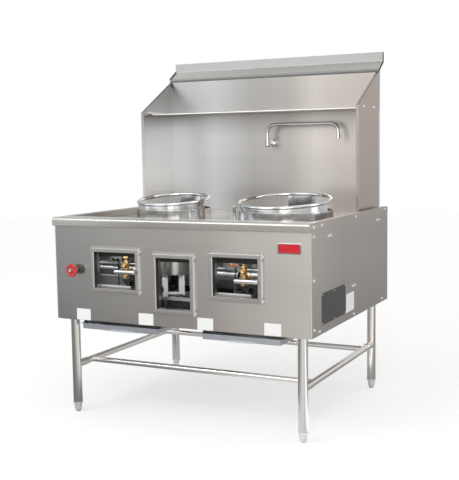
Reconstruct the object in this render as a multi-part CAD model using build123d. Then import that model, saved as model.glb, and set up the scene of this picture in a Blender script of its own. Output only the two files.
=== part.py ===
from build123d import *
import os
from math import asin, atan2, cos, degrees, pi, radians, sin, tan

# Two-burner wok range with backsplash, shelf and swing spout. Millimetres, +Z up,
# front towards -Y, origin on the floor below the middle of the cabinet.

# ---------------------------------------------------------------- driving sizes
# Cabinet
cabinet_width = 1219.0
cabinet_depth = 1021.0
base_height = 436.0            # floor to the underside of the cabinet
panel_height = 417.0           # front panel, up to the rail
sheet = 2.0                    # stainless sheet
fit = 0.3                      # air between parts that only lie side by side
corner_radius = 6.0            # bend at the front edges of the side panels

# Deck
rail_height = 36.0
rail_overhang = 16.0
rail_nose_radius = 12.0
front_rail_width = 96.0        # nose to the inner wall
side_rail_width = 28.0
deck_drop = 28.0               # rail top down to the deck
deck_ledge = 8.0               # deck lip that the wok ring skirt stands on

# Cooking stations: the left one measured from the left side, the right one from the right
station_left_inset = 325.0
station_right_inset = 319.0
station_front_inset = 505.0
ring_radius_left = 168.5       # centre line of the ring bar
ring_radius_right = 206.5
ring_bar = 8.0                 # radius of the ring bar
ring_tilt = 5.5                # degrees, rear side up
ring_height = 81.0             # ring centre above the deck
skirt_wall = 3.0
skirt_band = 22.0              # full circle at the foot of the skirt
skirt_front_angle = 170.0      # degrees of skirt wall at the front
skirt_rear_angle = 38.0
collar_gap = 5.0               # skirt to collar
collar_wall = 3.0
collar_height = 41.0
chamber_depth = 258.0
chamber_wall = 3.0
chamber_flange = 6.0
chamber_margin = -2.0          # chamber wall inside the collar's outer face

# Burners
plenum_radius = 95.0
plenum_height = 34.0
plenum_bevel = 12.0
boss_wall = 8.0
boss_drop = 26.0
boss_socket_top = 10.0
jet_rings = ((0.0, 1), (38.0, 6), (76.0, 12))
jet_height = 44.0
jet_foot_radius = 9.0
jet_top_radius = 6.0
tip_height = 6.0
tip_radius = 3.6
air_hole_radius = 13.0
air_hole_count = 10

# Gas train: insets from the front panel, rises above the cabinet's underside
pipe_radius = 16.7             # one inch pipe
pipe_clearance = 0.1
manifold_inset = 130.0
manifold_end_inset = 102.5
manifold_cap = 14.0
manifold_bend = 30.0
crossover_rise = 48.0          # low run between the stations
crossover_from_station = (106.5, -240.5)
gas_pipe_inset = 66.0          # from the right side
pipe_tail = 40.0               # pipe ends standing out behind the cabinet
valve_inset = 60.0
valve_rise = 215.0             # middle of the barrel
valve_offset = {"left": 8.0, "right": 1.0}
valve_barrel_radius = 17.0
valve_barrel_height = 32.0
valve_nut_height = 12.0
plug_radius = 7.0
elbow_radius = 13.0
elbow_bend = 15.0
mixer_radius = 21.0
mixer_bore = 18.0
mixer_bend = 32.0
mixer_offset = 44.0            # mixer axis beside the valve axis
mixer_front_rise = 170.0
mixer_mouth = 18.0             # mouth ahead of the valve axis
mixer_run = 100.0              # level run behind the valve axis
mixer_drop = 73.0              # low run below the chamber floor
mixer_low_run = 150.0
shutter_rim = 6.0
shutter_depth = 8.0
grip_length = 104.0
grip_radius = 10.0
grip_reach = 30.5              # in front of the panel
grip_rise = {"left": 228.5, "right": 218.0}
grip_overhang = 14.0
lever_rod_radius = 6.0
lever_hub_radius = 14.0
lever_hub_height = 22.0
lever_nut_reach = 26.0
spindle_radius = 5.5
spindle_height = 24.0
spindle_tee = 11.0
pilot_pipe_radius = 4.5
pilot_pipe_gap = 10.0
pilot_pipe_setback = 6.0
pilot_pipe_inset = 100.0
pilot_clip = 10.0
pilot_bracket_offset = 46.0
pilot_clip_offset = 60.0
pilot_pipe_ends = (79.5, -185.5)    # inner ends beside the stations
pilot_face_width = 48.0
pilot_face_height = 40.0
pilot_fitting_radius = 8.0
pilot_fitting_length = 12.0
pilot_block_offset = 104.0
pilot_block_width = 30.0
pilot_block_height = 25.4
pilot_tube_radius = 3.0
pilot_tube_drop = 28.0         # tube's level run below the mixer
pilot_tube_bend = 12.0
pilot_offset = 36.0
bracket_steel = 3.0
hanger_width = 25.0
hanger_left = 55.0
hanger_right = 45.0
saddle_depth = 33.0
front_bar_rise = 104.0
front_bar_leg = 15.0

# Openings in the front panel: middle line beside the station (or beside the
# cabinet's middle), bottom edge, width and height of each trim frame
window_left_size = (-4.0, 127.0, 258.0, 205.0)
window_centre_size = (-1.0, 52.0, 211.0, 266.0)
window_right_size = (-4.0, 124.0, 250.0, 208.0)
trim_flange = 8.0
trim_face = 16.0
trim_depth = 16.0
trim_jamb = 29.0               # how far the frame reaches in behind the panel

# Water
water_pipe_radius = 10.7       # half inch pipe
water_pipe_bend = 16.0
water_valve_inset = 129.0      # from the left side
water_valve_rise = 228.0
water_valve_depth = 38.0       # valve body's axis behind the panel
water_pipe_inset = 75.0
water_inlet_drop = 108.0
valve_neck_radius = 11.0
stem_radius = 5.0
bonnet_radius = 22.0
bonnet_height = 12.0
wheel_radius = 31.0
wheel_thickness = 10.0
wheel_stand_off = 62.0         # panel to the middle of the handwheel
wheel_lobes = 7
spout_offset = 7.5             # from the cabinet's middle
spout_stand_off = 60.0         # backsplash to the spout's pivot
spout_radius = 8.5
spout_bend = 42.0
spout_reach = 375.0
spout_body_rise = 343.0        # above the deck
spout_arm_rise = 91.0          # above the body
spout_tip_rise = 18.0
spout_tip_radius = 10.5
spout_tip_height = 22.0
faucet_radius = 13.0
faucet_shank_radius = 11.0
escutcheon_radius = 20.0
drain_from_station = (-228.0, -55.0)
drain_radius = 9.5
drain_flange_radius = 13.0
drain_end_rise = 12.0
standpipe_radius = 7.0
standpipe_height = 60.0

# Backsplash assembly: insets from the cabinet's sides and back, rises above the deck
splash_left_inset = 23.5
splash_right_inset = 43.0
splash_back_inset = 8.0
splash_thickness = 20.0
side_splash_depth = 301.0
side_splash_shoulder = 505.0
splash_rise = 672.0
splash_flange = 14.0
crown_step = 15.0
crown_rise = 43.0
crown_run = 65.0
crown_flange = 43.0
shelf_depth = 243.0
shelf_rise = 493.0
shelf_roll_radius = 7.5
shelf_lip = 18.0

# Frame under the sheets
angle_leg = 40.0
angle_wall = 4.0
brace_leg = 30.0
outer_brace_inset = 109.5
inner_brace_offset = 91.0
post_inset = 22.0
rear_flange = 18.0
vent_columns = 9
vent_rows = 3
vent_length = 64.0
vent_height = 8.0
vent_pitch = 108.0
vent_row_pitch = 26.0
vent_top = 60.0

# Legs
leg_radius = 20.65             # 1 5/8 inch tube
leg_wall = 1.6
leg_plate = 4.0
leg_plate_size = 80.0
leg_inset_x = 59.5
leg_inset_front = 52.7
leg_inset_rear = 68.4
foot_height = 39.0
foot_radius = 16.0
foot_stem_radius = 6.0
foot_stem_length = 46.0
insert_flange = 6.0
insert_depth = 40.0
running_fit = 0.05
lower_rail_radius = 15.0
cross_rail_radius = 12.7
cross_rail_front_inset = 170.0
cross_rail_rear_inset = 183.0
sleeve_length = 58.0
sleeve_wall = 1.8
rail_fit = 0.2

# Drip trays: inset from their own side of the cabinet, and width
tray_left = (125.0, 375.0)
tray_right = (142.0, 350.0)
tray_height = 22.0
tray_front_inset = 18.5
tray_rear_inset = 72.5
tray_wall = 1.5
tray_lip = 12.0
tray_pull = 12.0
runner_drop = 21.0
runner_flange = 10.0

# Small parts
badge_right_inset = 140.0
badge_drop = 86.0              # below the rail
badge_size = (97.0, 43.0)
badge_rim = 4.0
tag_size = (73.0, 50.0)
tags_from_left = (108.0, 429.0)
tags_from_right = (505.0, 202.0)
data_plate_size = (286.0, 129.0)
data_plate_corner = (112.0, 34.5)   # from the front panel and the cabinet's underside
label_size = (102.0, 80.0)
label_gap = 10.0
plate_wall = 1.0
rivet_inset = 6.0
bolt_radius = 6.0
bolt_height = 4.0
rivet_radius = 3.2
screw_radius = 3.0
# side bolts: distance from the front or rear edge, and from the rail top or the underside
bolts_front_top = ((26.0, 17.0), (114.0, 16.0), (535.0, 13.0), (25.0, 54.0), (190.0, 65.0), (216.0, 65.0))
bolts_rear_top = ((48.0, 10.0), (178.0, 53.0), (142.0, 53.0))
bolts_front_low = ((27.0, 226.0), (29.0, 31.0), (83.0, 15.0), (509.0, 14.0), (492.0, 139.5), (525.0, 139.5))
bolts_rear_low = ((94.0, 17.0),)

# ---------------------------------------------------------------- derived places
half_width = cabinet_width / 2
front_y = -cabinet_depth / 2
back_y = cabinet_depth / 2
base_z = base_height
rail_z = base_z + panel_height
rail_top = rail_z + rail_height
deck_z = rail_top - deck_drop
deck_under = deck_z - sheet
nose_y = front_y - rail_overhang
rail_inner_y = nose_y + front_rail_width
inner_x = half_width - sheet
chamber_floor_z = deck_under - chamber_depth
ring_z = deck_z + ring_height
station_y = front_y + station_front_inset
station_left_x = station_left_inset - half_width
station_right_x = half_width - station_right_inset
stations = {
    "left": (station_left_x, ring_radius_left, station_left_x + valve_offset["left"]),
    "right": (station_right_x, ring_radius_right, station_right_x + valve_offset["right"]),
}
valve_y = front_y + valve_inset
valve_z = base_z + valve_rise
manifold_y = front_y + manifold_inset
manifold_z = valve_z
crossover_z = base_z + crossover_rise
crossover_x = (station_left_x + crossover_from_station[0], station_right_x + crossover_from_station[1])
mixer_front_z = base_z + mixer_front_rise
mixer_low_z = chamber_floor_z - mixer_drop
grip_y = front_y - grip_reach
side_pipe_x = water_pipe_inset - half_width
gas_pipe_x = half_width - gas_pipe_inset
water_valve_x = water_valve_inset - half_width
water_valve_z = base_z + water_valve_rise
splash_left_x = splash_left_inset - half_width
splash_right_x = half_width - splash_right_inset
splash_face_y = back_y - splash_back_inset
splash_top_z = deck_z + splash_rise
side_splash_front_y = splash_face_y - side_splash_depth
side_splash_shoulder_z = deck_z + side_splash_shoulder
shelf_front_y = splash_face_y - shelf_depth
shelf_z = deck_z + shelf_rise
spout_x = spout_offset
spout_body_z = deck_z + spout_body_rise
spout_arm_z = spout_body_z + spout_arm_rise
spout_tip_z = spout_body_z + spout_tip_rise
drain_x = station_right_x + drain_from_station[0]
drain_y = station_y + drain_from_station[1]
side_rail_z = base_z / 2
outer_brace_x = half_width - outer_brace_inset
brace_x = (-outer_brace_x, -inner_brace_offset, inner_brace_offset, outer_brace_x)
windows = (
    (station_left_x + window_left_size[0], *window_left_size[1:]),
    (window_centre_size[0], *window_centre_size[1:]),
    (station_right_x + window_right_size[0], *window_right_size[1:]),
)
leg_places = [
    (side * (half_width - leg_inset_x), y)
    for side in (-1, 1)
    for y in (front_y + leg_inset_front, back_y - leg_inset_rear)
]
leg_names = ("front_left", "rear_left", "front_right", "rear_right")
parts = {}


# ---------------------------------------------------------------- shape helpers
def block(x0, x1, y0, y1, z0, z1):
    """Rectangular solid between two opposite corners."""
    return Pos((x0 + x1) / 2, (y0 + y1) / 2, (z0 + z1) / 2) * Box(x1 - x0, y1 - y0, z1 - z0)


def rod(start, end, radius):
    """Straight round bar from one point to another."""
    start, end = Vector(*start), Vector(*end)
    way = end - start
    return extrude(Plane(origin=start, z_dir=way) * Circle(radius), amount=way.length)


def pipe(start, end, radius, bore):
    """Straight round tube."""
    return rod(start, end, radius) - rod(start, end, bore)


def bent_rod(points, radius, bend):
    """Round bar along straight runs joined by round corners."""
    bar = Part()
    for run in FilletPolyline(*points, radius=bend).edges():
        if run.geom_type == GeomType.LINE:
            bar += rod(run @ 0, run @ 1, radius)
            continue
        spoke = (run @ 0) - run.arc_center
        axis = Axis(run.arc_center, spoke.cross(run % 0))
        section = Plane(origin=run @ 0, z_dir=run % 0) * Circle(radius)
        bar += revolve(section, axis, revolution_arc=degrees(run.length / bend))
    return bar


def side_profile(points, x0, x1):
    """Prism whose (y, z) outline runs along the width from x0 to x1."""
    face = make_face(Polyline(*points, close=True))
    return extrude(Plane.YZ.offset(x0) * face, amount=x1 - x0)


def angle_bar(length_from, length_to, corner, legs, along, leg=None, wall=None):
    """Equal angle: a vertical and a horizontal leg from one corner line.

    corner is the outer corner, legs the two directions (+1 or -1) it spreads in,
    and along names the axis that the bar runs along.
    """
    leg, wall = leg or angle_leg, wall or angle_wall
    a, b = corner
    da, db = legs
    spans = [sorted((a, a + da * wall)), sorted((b, b + db * leg))]
    flats = [sorted((a, a + da * leg)), sorted((b, b + db * wall))]
    solids = []
    for first, second in (spans, flats):
        if along == "x":
            solids.append(block(length_from, length_to, *first, *second))
        elif along == "y":
            solids.append(block(*first, length_from, length_to, *second))
        else:
            solids.append(block(*first, *second, length_from, length_to))
    return solids[0] + solids[1]


def bolt_head(place, outward, radius=bolt_radius, height=bolt_height):
    """Low hexagon head that stands on a face."""
    head = extrude(Plane(origin=place, z_dir=outward) * RegularPolygon(radius, 6), amount=height)
    return head


def round_head(place, outward, radius, height):
    """Low round head of a screw or rivet that stands on a face."""
    return extrude(Plane(origin=place, z_dir=outward) * Circle(radius), amount=height)


def keep(name, *shapes):
    """Hold a sub-part under its name; pieces kept under one name are written together."""
    held = parts.setdefault(name, [])
    for shape in shapes:
        held.extend(shape.solids())


# ---------------------------------------------------------------- cabinet sheets
def window_box(window, grow, y0, y1):
    """Block through a front window; grow widens it past the clear opening."""
    middle, bottom, width, height = window
    border = trim_flange + trim_face - grow
    return block(
        middle - width / 2 + border, middle + width / 2 - border,
        y0, y1,
        base_z + bottom + border, base_z + bottom + height - border,
    )


def front_panel():
    edge = half_width - corner_radius - fit
    flange = rear_flange
    skin = block(-edge, edge, front_y, front_y + sheet, base_z, rail_z)
    top = block(-edge, edge, front_y, front_y + flange, rail_z - sheet, rail_z)
    panel = skin + top
    for window in windows:
        panel -= window_box(window, sheet + fit, front_y - 1, front_y + sheet + 1)
    hole_r = valve_neck_radius + fit
    panel -= rod((water_valve_x, front_y - 1, water_valve_z),
                 (water_valve_x, front_y + sheet + 1, water_valve_z), hole_r)
    keep("front_panel", panel)


def side_panel(name, side):
    """Flat side with a rolled front edge and a nose that caps the front rail."""
    outline = Polyline(
        (back_y, base_z), (back_y, rail_top), (nose_y, rail_top),
        (nose_y, rail_z), (front_y + corner_radius, rail_z),
        (front_y + corner_radius, base_z), close=True,
    )
    face = make_face(outline)
    nose = face.vertices().sort_by(lambda v: v.Y - v.Z)[0:1]
    nose = [v for v in face.vertices() if abs(v.X - nose_y) < 0.1 and abs(v.Y - rail_top) < 0.1]
    face = fillet(nose, rail_nose_radius)
    flat = extrude(Plane.YZ.offset(inner_x) * face, amount=sheet)
    corner = (half_width - corner_radius, front_y + corner_radius)
    bend = Pos(*corner) * (Circle(corner_radius) - Circle(corner_radius - sheet))
    bend &= Pos(corner[0] + corner_radius / 2, corner[1] - corner_radius / 2) * Rectangle(
        corner_radius, corner_radius
    )
    edge = extrude(Plane.XY.offset(base_z) * bend, amount=panel_height)
    panel = flat + edge
    keep(name, panel if side > 0 else mirror(panel, about=Plane.YZ))


def rear_panel():
    x, top = inner_x - fit, deck_under
    panel = block(-x, x, back_y - sheet, back_y, base_z, top)
    clear = post_inset + angle_leg
    panel += block(clear - x, x - clear, back_y - rear_flange, back_y, top - sheet, top)
    slot = block(-vent_length / 2, vent_length / 2, back_y - sheet - 1, back_y + 1,
                 -vent_height / 2, vent_height / 2)
    for column in range(vent_columns):
        for row in range(vent_rows):
            across = (column - (vent_columns - 1) / 2) * vent_pitch
            panel -= Pos(across, 0, top - vent_top - row * vent_row_pitch) * slot
    for x_hole, z_hole, radius in rear_holes():
        panel -= rod((x_hole, back_y - 2 * sheet, z_hole), (x_hole, back_y + 1, z_hole), radius + sheet)
    keep("rear_panel", panel)


# ---------------------------------------------------------------- deck
def front_rail():
    """Hook-shaped rolled edge: return lip, face, round nose, flat top, inner wall."""
    outer = Polyline(
        (front_y + rail_overhang, rail_z), (nose_y, rail_z), (nose_y, rail_top),
        (rail_inner_y, rail_top), (rail_inner_y, deck_z),
        (rail_inner_y - sheet, deck_z), (rail_inner_y - sheet, rail_top - sheet),
        (nose_y + sheet, rail_top - sheet), (nose_y + sheet, rail_z + sheet),
        (front_y + rail_overhang, rail_z + sheet), close=True,
    )
    face = make_face(outer)
    for y, z, radius in (
        (nose_y, rail_top, rail_nose_radius),
        (nose_y + sheet, rail_top - sheet, rail_nose_radius - sheet),
        (rail_inner_y, rail_top, 4.0),
        (rail_inner_y - sheet, rail_top - sheet, 2.0),
    ):
        corner = [v for v in face.vertices() if abs(v.X - y) < 0.1 and abs(v.Y - z) < 0.1]
        face = fillet(corner, radius)
    x = inner_x - fit
    keep("front_rail", extrude(Plane.YZ.offset(-x) * face, amount=2 * x))


def deck_rails():
    """Flat top and inner wall of the deck's two side edges, open underneath."""
    rails = []
    y0, y1 = rail_inner_y + fit, back_y - sheet
    for side in (-1, 1):
        outer, inner = side * (inner_x - fit), side * (half_width - side_rail_width)
        wall = sorted((inner, inner + side * sheet))
        rail = block(*sorted((outer, inner)), y0, y1, rail_top - sheet, rail_top)
        rail += block(*wall, y0, y1, deck_z, rail_top)
        top_edge = [e for e in rail.edges().filter_by(Axis.Y)
                    if abs(e.center().X - inner) < 0.1 and abs(e.center().Z - rail_top) < 0.1]
        rails.append(fillet(top_edge, sheet * 0.9))
    keep("deck_rails", *rails)


def deck_plate():
    x = inner_x - fit
    plate = block(-x, x, front_y + brace_leg, back_y - sheet - fit, deck_under, deck_z)
    for centre_x, ring_radius, _ in stations.values():
        radius = ring_radius - deck_ledge
        plate -= rod((centre_x, station_y, deck_under - 1), (centre_x, station_y, deck_z + 1), radius)
    plate -= rod((drain_x, drain_y, deck_under - 1), (drain_x, drain_y, deck_z + 1), drain_radius - 2)
    keep("deck_plate", plate)


# ---------------------------------------------------------------- cooking stations
def collar_inner(ring_radius):
    """Inner radius of the fixed collar round a wok ring."""
    return ring_radius + skirt_wall / 2 + collar_gap


def chamber_radius(ring_radius):
    """Outer radius of the chamber below a collar."""
    return collar_inner(ring_radius) + collar_wall + chamber_margin


def collar(side):
    x, ring_radius, _ = stations[side]
    inner = collar_inner(ring_radius)
    outline = Polyline(
        (inner, 0), (inner + collar_wall, 0), (inner + collar_wall, collar_height),
        (inner, collar_height), close=True,
    )
    wall = revolve(Plane.XZ * make_face(outline), Axis.Z)
    top = wall.edges().filter_by(GeomType.CIRCLE).group_by(Axis.Z)[-1]
    wall = chamfer(top, collar_wall * 0.4)
    keep("collars", Pos(x, station_y, deck_z) * wall)


def wok_ring(side):
    """Round bar ring, tilted rear side up, on a skirt that is open at the sides."""
    x, ring_radius, _ = stations[side]
    bar = Rot(ring_tilt, 0, 0) * Torus(ring_radius, ring_bar)
    wall = Cylinder(ring_radius + skirt_wall / 2, 2 * ring_height) - Cylinder(
        ring_radius - skirt_wall / 2, 2 * ring_height
    )
    size = 3 * ring_radius
    above = Rot(ring_tilt, 0, 0) * Pos(0, 0, size / 2) * Box(size, size, size)
    below = Pos(0, 0, -ring_height - size / 2) * Box(size, size, size)
    wall = wall - above - below
    for turn in (-1, 1):
        first = -90 + skirt_front_angle / 2
        last = 90 - skirt_rear_angle / 2
        window = sector(first, last, 2 * ring_radius, ring_height * 2, skirt_band - ring_height)
        wall -= window if turn > 0 else mirror(window, about=Plane.YZ)
    keep("wok_ring_" + side, Pos(x, station_y, ring_z) * (wall + bar))


def sector(first, last, radius, height, floor):
    """Pie slice between two angles in degrees, standing on floor."""
    corners = [(0, 0)] + [
        (radius * cos(radians(a)), radius * sin(radians(a))) for a in (first, (first + last) / 2, last)
    ]
    return extrude(Plane.XY.offset(floor) * make_face(Polyline(*corners, close=True)), amount=height)


def air_hole_circle(ring_radius):
    """Radius on which the air holes of a chamber floor lie."""
    return (plenum_radius + chamber_radius(ring_radius)) / 2


def chamber(side):
    """Round well under the deck with a flange at the top and an air-holed floor."""
    x, ring_radius, _ = stations[side]
    radius = chamber_radius(ring_radius)
    wall = Cylinder(radius, chamber_depth, align=(Align.CENTER, Align.CENTER, Align.MIN))
    wall -= Pos(0, 0, chamber_wall) * Cylinder(
        radius - chamber_wall, chamber_depth, align=(Align.CENTER, Align.CENTER, Align.MIN)
    )
    flange = Cylinder(radius + chamber_flange, chamber_wall, align=(Align.CENTER, Align.CENTER, Align.MAX))
    flange -= Cylinder(radius - 1, chamber_wall, align=(Align.CENTER, Align.CENTER, Align.MAX))
    well = wall + Pos(0, 0, chamber_depth) * flange
    well -= Cylinder(mixer_radius + boss_wall + fit, 4 * chamber_wall)
    holes = PolarLocations(air_hole_circle(ring_radius), air_hole_count)
    for place in holes:
        well -= place * Cylinder(air_hole_radius, 4 * chamber_wall)
    keep("chamber_" + side, Pos(x, station_y, chamber_floor_z) * well)


def jet_places():
    """Centres of the jets: one in the middle and rings round it."""
    for radius, count in jet_rings:
        for index in range(count):
            turn = radians(360 * index / count)
            yield radius * cos(turn), radius * sin(turn)


def burner(side):
    """Iron plenum on the chamber floor with a crown of upright jets and an inlet boss."""
    x = stations[side][0]
    floor = chamber_floor_z + chamber_wall
    outline = Polyline(
        (0, -boss_drop), (mixer_radius + boss_wall, -boss_drop), (mixer_radius + boss_wall, 0),
        (plenum_radius, 0), (plenum_radius, plenum_height - plenum_bevel),
        (plenum_radius - plenum_bevel, plenum_height), (0, plenum_height), close=True,
    )
    body = revolve(Plane.XZ * make_face(outline), Axis.Z)
    body -= Pos(0, 0, -boss_socket_top) * Cylinder(
        mixer_radius + pipe_clearance, boss_drop, align=(Align.CENTER, Align.CENTER, Align.MAX)
    )
    lean = degrees(atan2(jet_foot_radius - jet_top_radius, jet_height))
    jet = extrude(RegularPolygon(jet_foot_radius, 6), amount=jet_height, taper=lean)
    tip = extrude(RegularPolygon(tip_radius, 6), amount=tip_height)
    tips = []
    for jx, jy in jet_places():
        body += Pos(jx, jy, plenum_height - 1) * jet
        tips.append(Pos(x + jx, station_y + jy, floor + plenum_height - 1 + jet_height) * tip)
    keep("burners", Pos(x, station_y, floor) * body)
    keep("burner_tips", *tips)


def burner_bracket(side):
    """Two hanging flats and the cross plate that the mixing tube lies on."""
    x = stations[side][0]
    plate_top = mixer_low_z - mixer_radius
    plate_low = plate_top - bracket_steel
    y = station_y - mixer_bend - bracket_steel
    bracket = block(x - hanger_left, x + hanger_right, y - saddle_depth, y, plate_low, plate_top)
    for middle in (x - hanger_left, x + hanger_right):
        bracket += block(middle - hanger_width / 2, middle + hanger_width / 2, y - bracket_steel, y,
                         plate_low, chamber_floor_z)
    keep("burner_brackets", bracket)


# ---------------------------------------------------------------- gas train
def gas_manifold():
    """Pipe across the front, low between the stations, back along the right side and out; brace plates hold it."""
    y, z, start = manifold_y, manifold_z, manifold_end_inset - half_width
    run = bent_rod([(start, y, z), (crossover_x[0], y, z), (crossover_x[0], y, crossover_z),
                    (crossover_x[1], y, crossover_z), (crossover_x[1], y, z), (gas_pipe_x, y, z),
                    (gas_pipe_x, back_y + pipe_tail, z)], pipe_radius, manifold_bend)
    cap = rod((start - manifold_cap, y, z), (start, y, z), pipe_radius + angle_wall)
    keep("gas_pipes", run + cap)
    foot = base_z + angle_wall
    for brace in brace_x:
        x = brace + angle_wall
        low = crossover_x[0] < x < crossover_x[1]
        pipe_z = crossover_z if low else z
        plate = block(x, x + bracket_steel, y - pipe_radius - sheet, y + pipe_radius + sheet,
                      foot, pipe_z + pipe_radius + bracket_steel)
        hole = rod((x - 1, y, pipe_z), (x + bracket_steel + 1, y, pipe_z), pipe_radius + rail_fit)
        keep("pipe_brackets", plate - hole)
    bar_z = base_z + front_bar_rise
    ends = (brace_x[1] + angle_wall, brace_x[2] + angle_wall)
    keep("pipe_brackets", angle_bar(ends[0], ends[1] + bracket_steel, (valve_y, bar_z), (1, 1), "x",
                                    front_bar_leg, sheet))
    for x in ends:
        keep("pipe_brackets", block(x, x + bracket_steel, valve_y + sheet, valve_y + front_bar_leg, foot, bar_z))


def valve(side):
    """Brass barrel with a nipple to the manifold, and the iron elbow below it."""
    x = stations[side][2]
    low = valve_z - valve_barrel_height / 2
    top = low + valve_barrel_height
    nut_low = low - valve_nut_height
    barrel = rod((x, valve_y, low), (x, valve_y, top), valve_barrel_radius)
    hexagon = Pos(x, valve_y) * RegularPolygon(valve_barrel_radius - sheet, 6)
    nut = extrude(Plane.XY.offset(nut_low) * hexagon, amount=valve_nut_height)
    nipple = rod((x, valve_y, valve_z), (x, manifold_y, valve_z), lever_hub_radius - 5)
    union = extrude(Plane(origin=(x, valve_y + lever_hub_height, valve_z), z_dir=(0, 1, 0))
                    * RegularPolygon(lever_hub_radius, 6), amount=lever_hub_radius)
    body = barrel + nut + nipple + union
    reach = 2 * valve_barrel_radius
    body -= rod((x - reach, manifold_y, manifold_z), (x + reach, manifold_y, manifold_z),
                pipe_radius + pipe_clearance)
    body -= rod((x, valve_y, low + valve_nut_height / 2), (x, valve_y, top + 1), plug_radius + running_fit)
    keep("gas_valves", body)
    elbow = bent_rod(
        [(x, valve_y, nut_low), (x, valve_y, mixer_front_z), (x + mixer_offset, valve_y, mixer_front_z)],
        elbow_radius, elbow_bend,
    )
    elbow += rod((x, valve_y, nut_low - elbow_radius * 0.7), (x, valve_y, nut_low), valve_barrel_radius)
    elbow -= rod((x + mixer_offset, valve_y - reach, mixer_front_z),
                 (x + mixer_offset, valve_y + reach, mixer_front_z), mixer_radius + pipe_clearance)
    keep("iron_elbows", elbow)


def mixing_tube(side):
    """Iron tube from the air shutter down and back to the burner's inlet."""
    centre_x, _, valve_x = stations[side]
    x, z = valve_x + mixer_offset, mixer_front_z
    mouth_y = valve_y - mixer_mouth
    route = [
        (x, mouth_y, z), (x, valve_y + mixer_run, z),
        (centre_x, station_y - mixer_low_run, mixer_low_z), (centre_x, station_y, mixer_low_z),
        (centre_x, station_y, chamber_floor_z + chamber_wall - boss_socket_top),
    ]
    tube = bent_rod(route, mixer_radius, mixer_bend)
    tube += rod((x, mouth_y - shutter_depth, z), (x, mouth_y, z), mixer_radius + shutter_rim)
    tube -= rod((x, mouth_y - shutter_depth / 2, z), (x, mouth_y + elbow_radius, z), mixer_bore)
    tube -= rod((x, mouth_y - shutter_depth - 1, z), (x, mouth_y, z), mixer_bore - shutter_rim)
    keep("mixing_tubes", tube)


def knee_lever(side):
    """Grip on a rod that turns the valve plug; the T-topped spindle turns with it."""
    x = stations[side][2]
    low = valve_z + valve_barrel_height / 2 + pipe_clearance
    middle, top = low + lever_hub_height / 2, low + lever_hub_height
    tee_z = top + spindle_height
    plug = rod((x, valve_y, valve_z), (x, valve_y, low), plug_radius)
    hub = rod((x, valve_y, low), (x, valve_y, top), lever_hub_radius)
    nut = extrude(Plane(origin=(x, valve_y - lever_nut_reach, middle), z_dir=(0, 1, 0))
                  * RegularPolygon(lever_hub_height / 2, 6), amount=lever_nut_reach)
    spindle = rod((x, valve_y, top), (x, valve_y, tee_z), spindle_radius)
    tee = rod((x - spindle_tee, valve_y, tee_z), (x + spindle_tee, valve_y, tee_z), spindle_radius)
    keep("lever_hub_" + side, plug + hub + nut + spindle + tee)
    grip_z, start = base_z + grip_rise[side], x - sheet
    elbow_y = valve_y - lever_nut_reach - 3 * lever_rod_radius
    arm = bent_rod(
        [(x, valve_y - lever_nut_reach, middle), (x, elbow_y, middle), (x + grip_overhang, grip_y, grip_z)],
        lever_rod_radius, 2 * lever_rod_radius,
    )
    grip = rod((start, grip_y, grip_z), (start + grip_length, grip_y, grip_z), grip_radius)
    arm -= grip
    grip = fillet(grip.edges().filter_by(GeomType.CIRCLE), grip_radius * 0.7)
    keep("lever_" + side, arm, grip)


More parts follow.
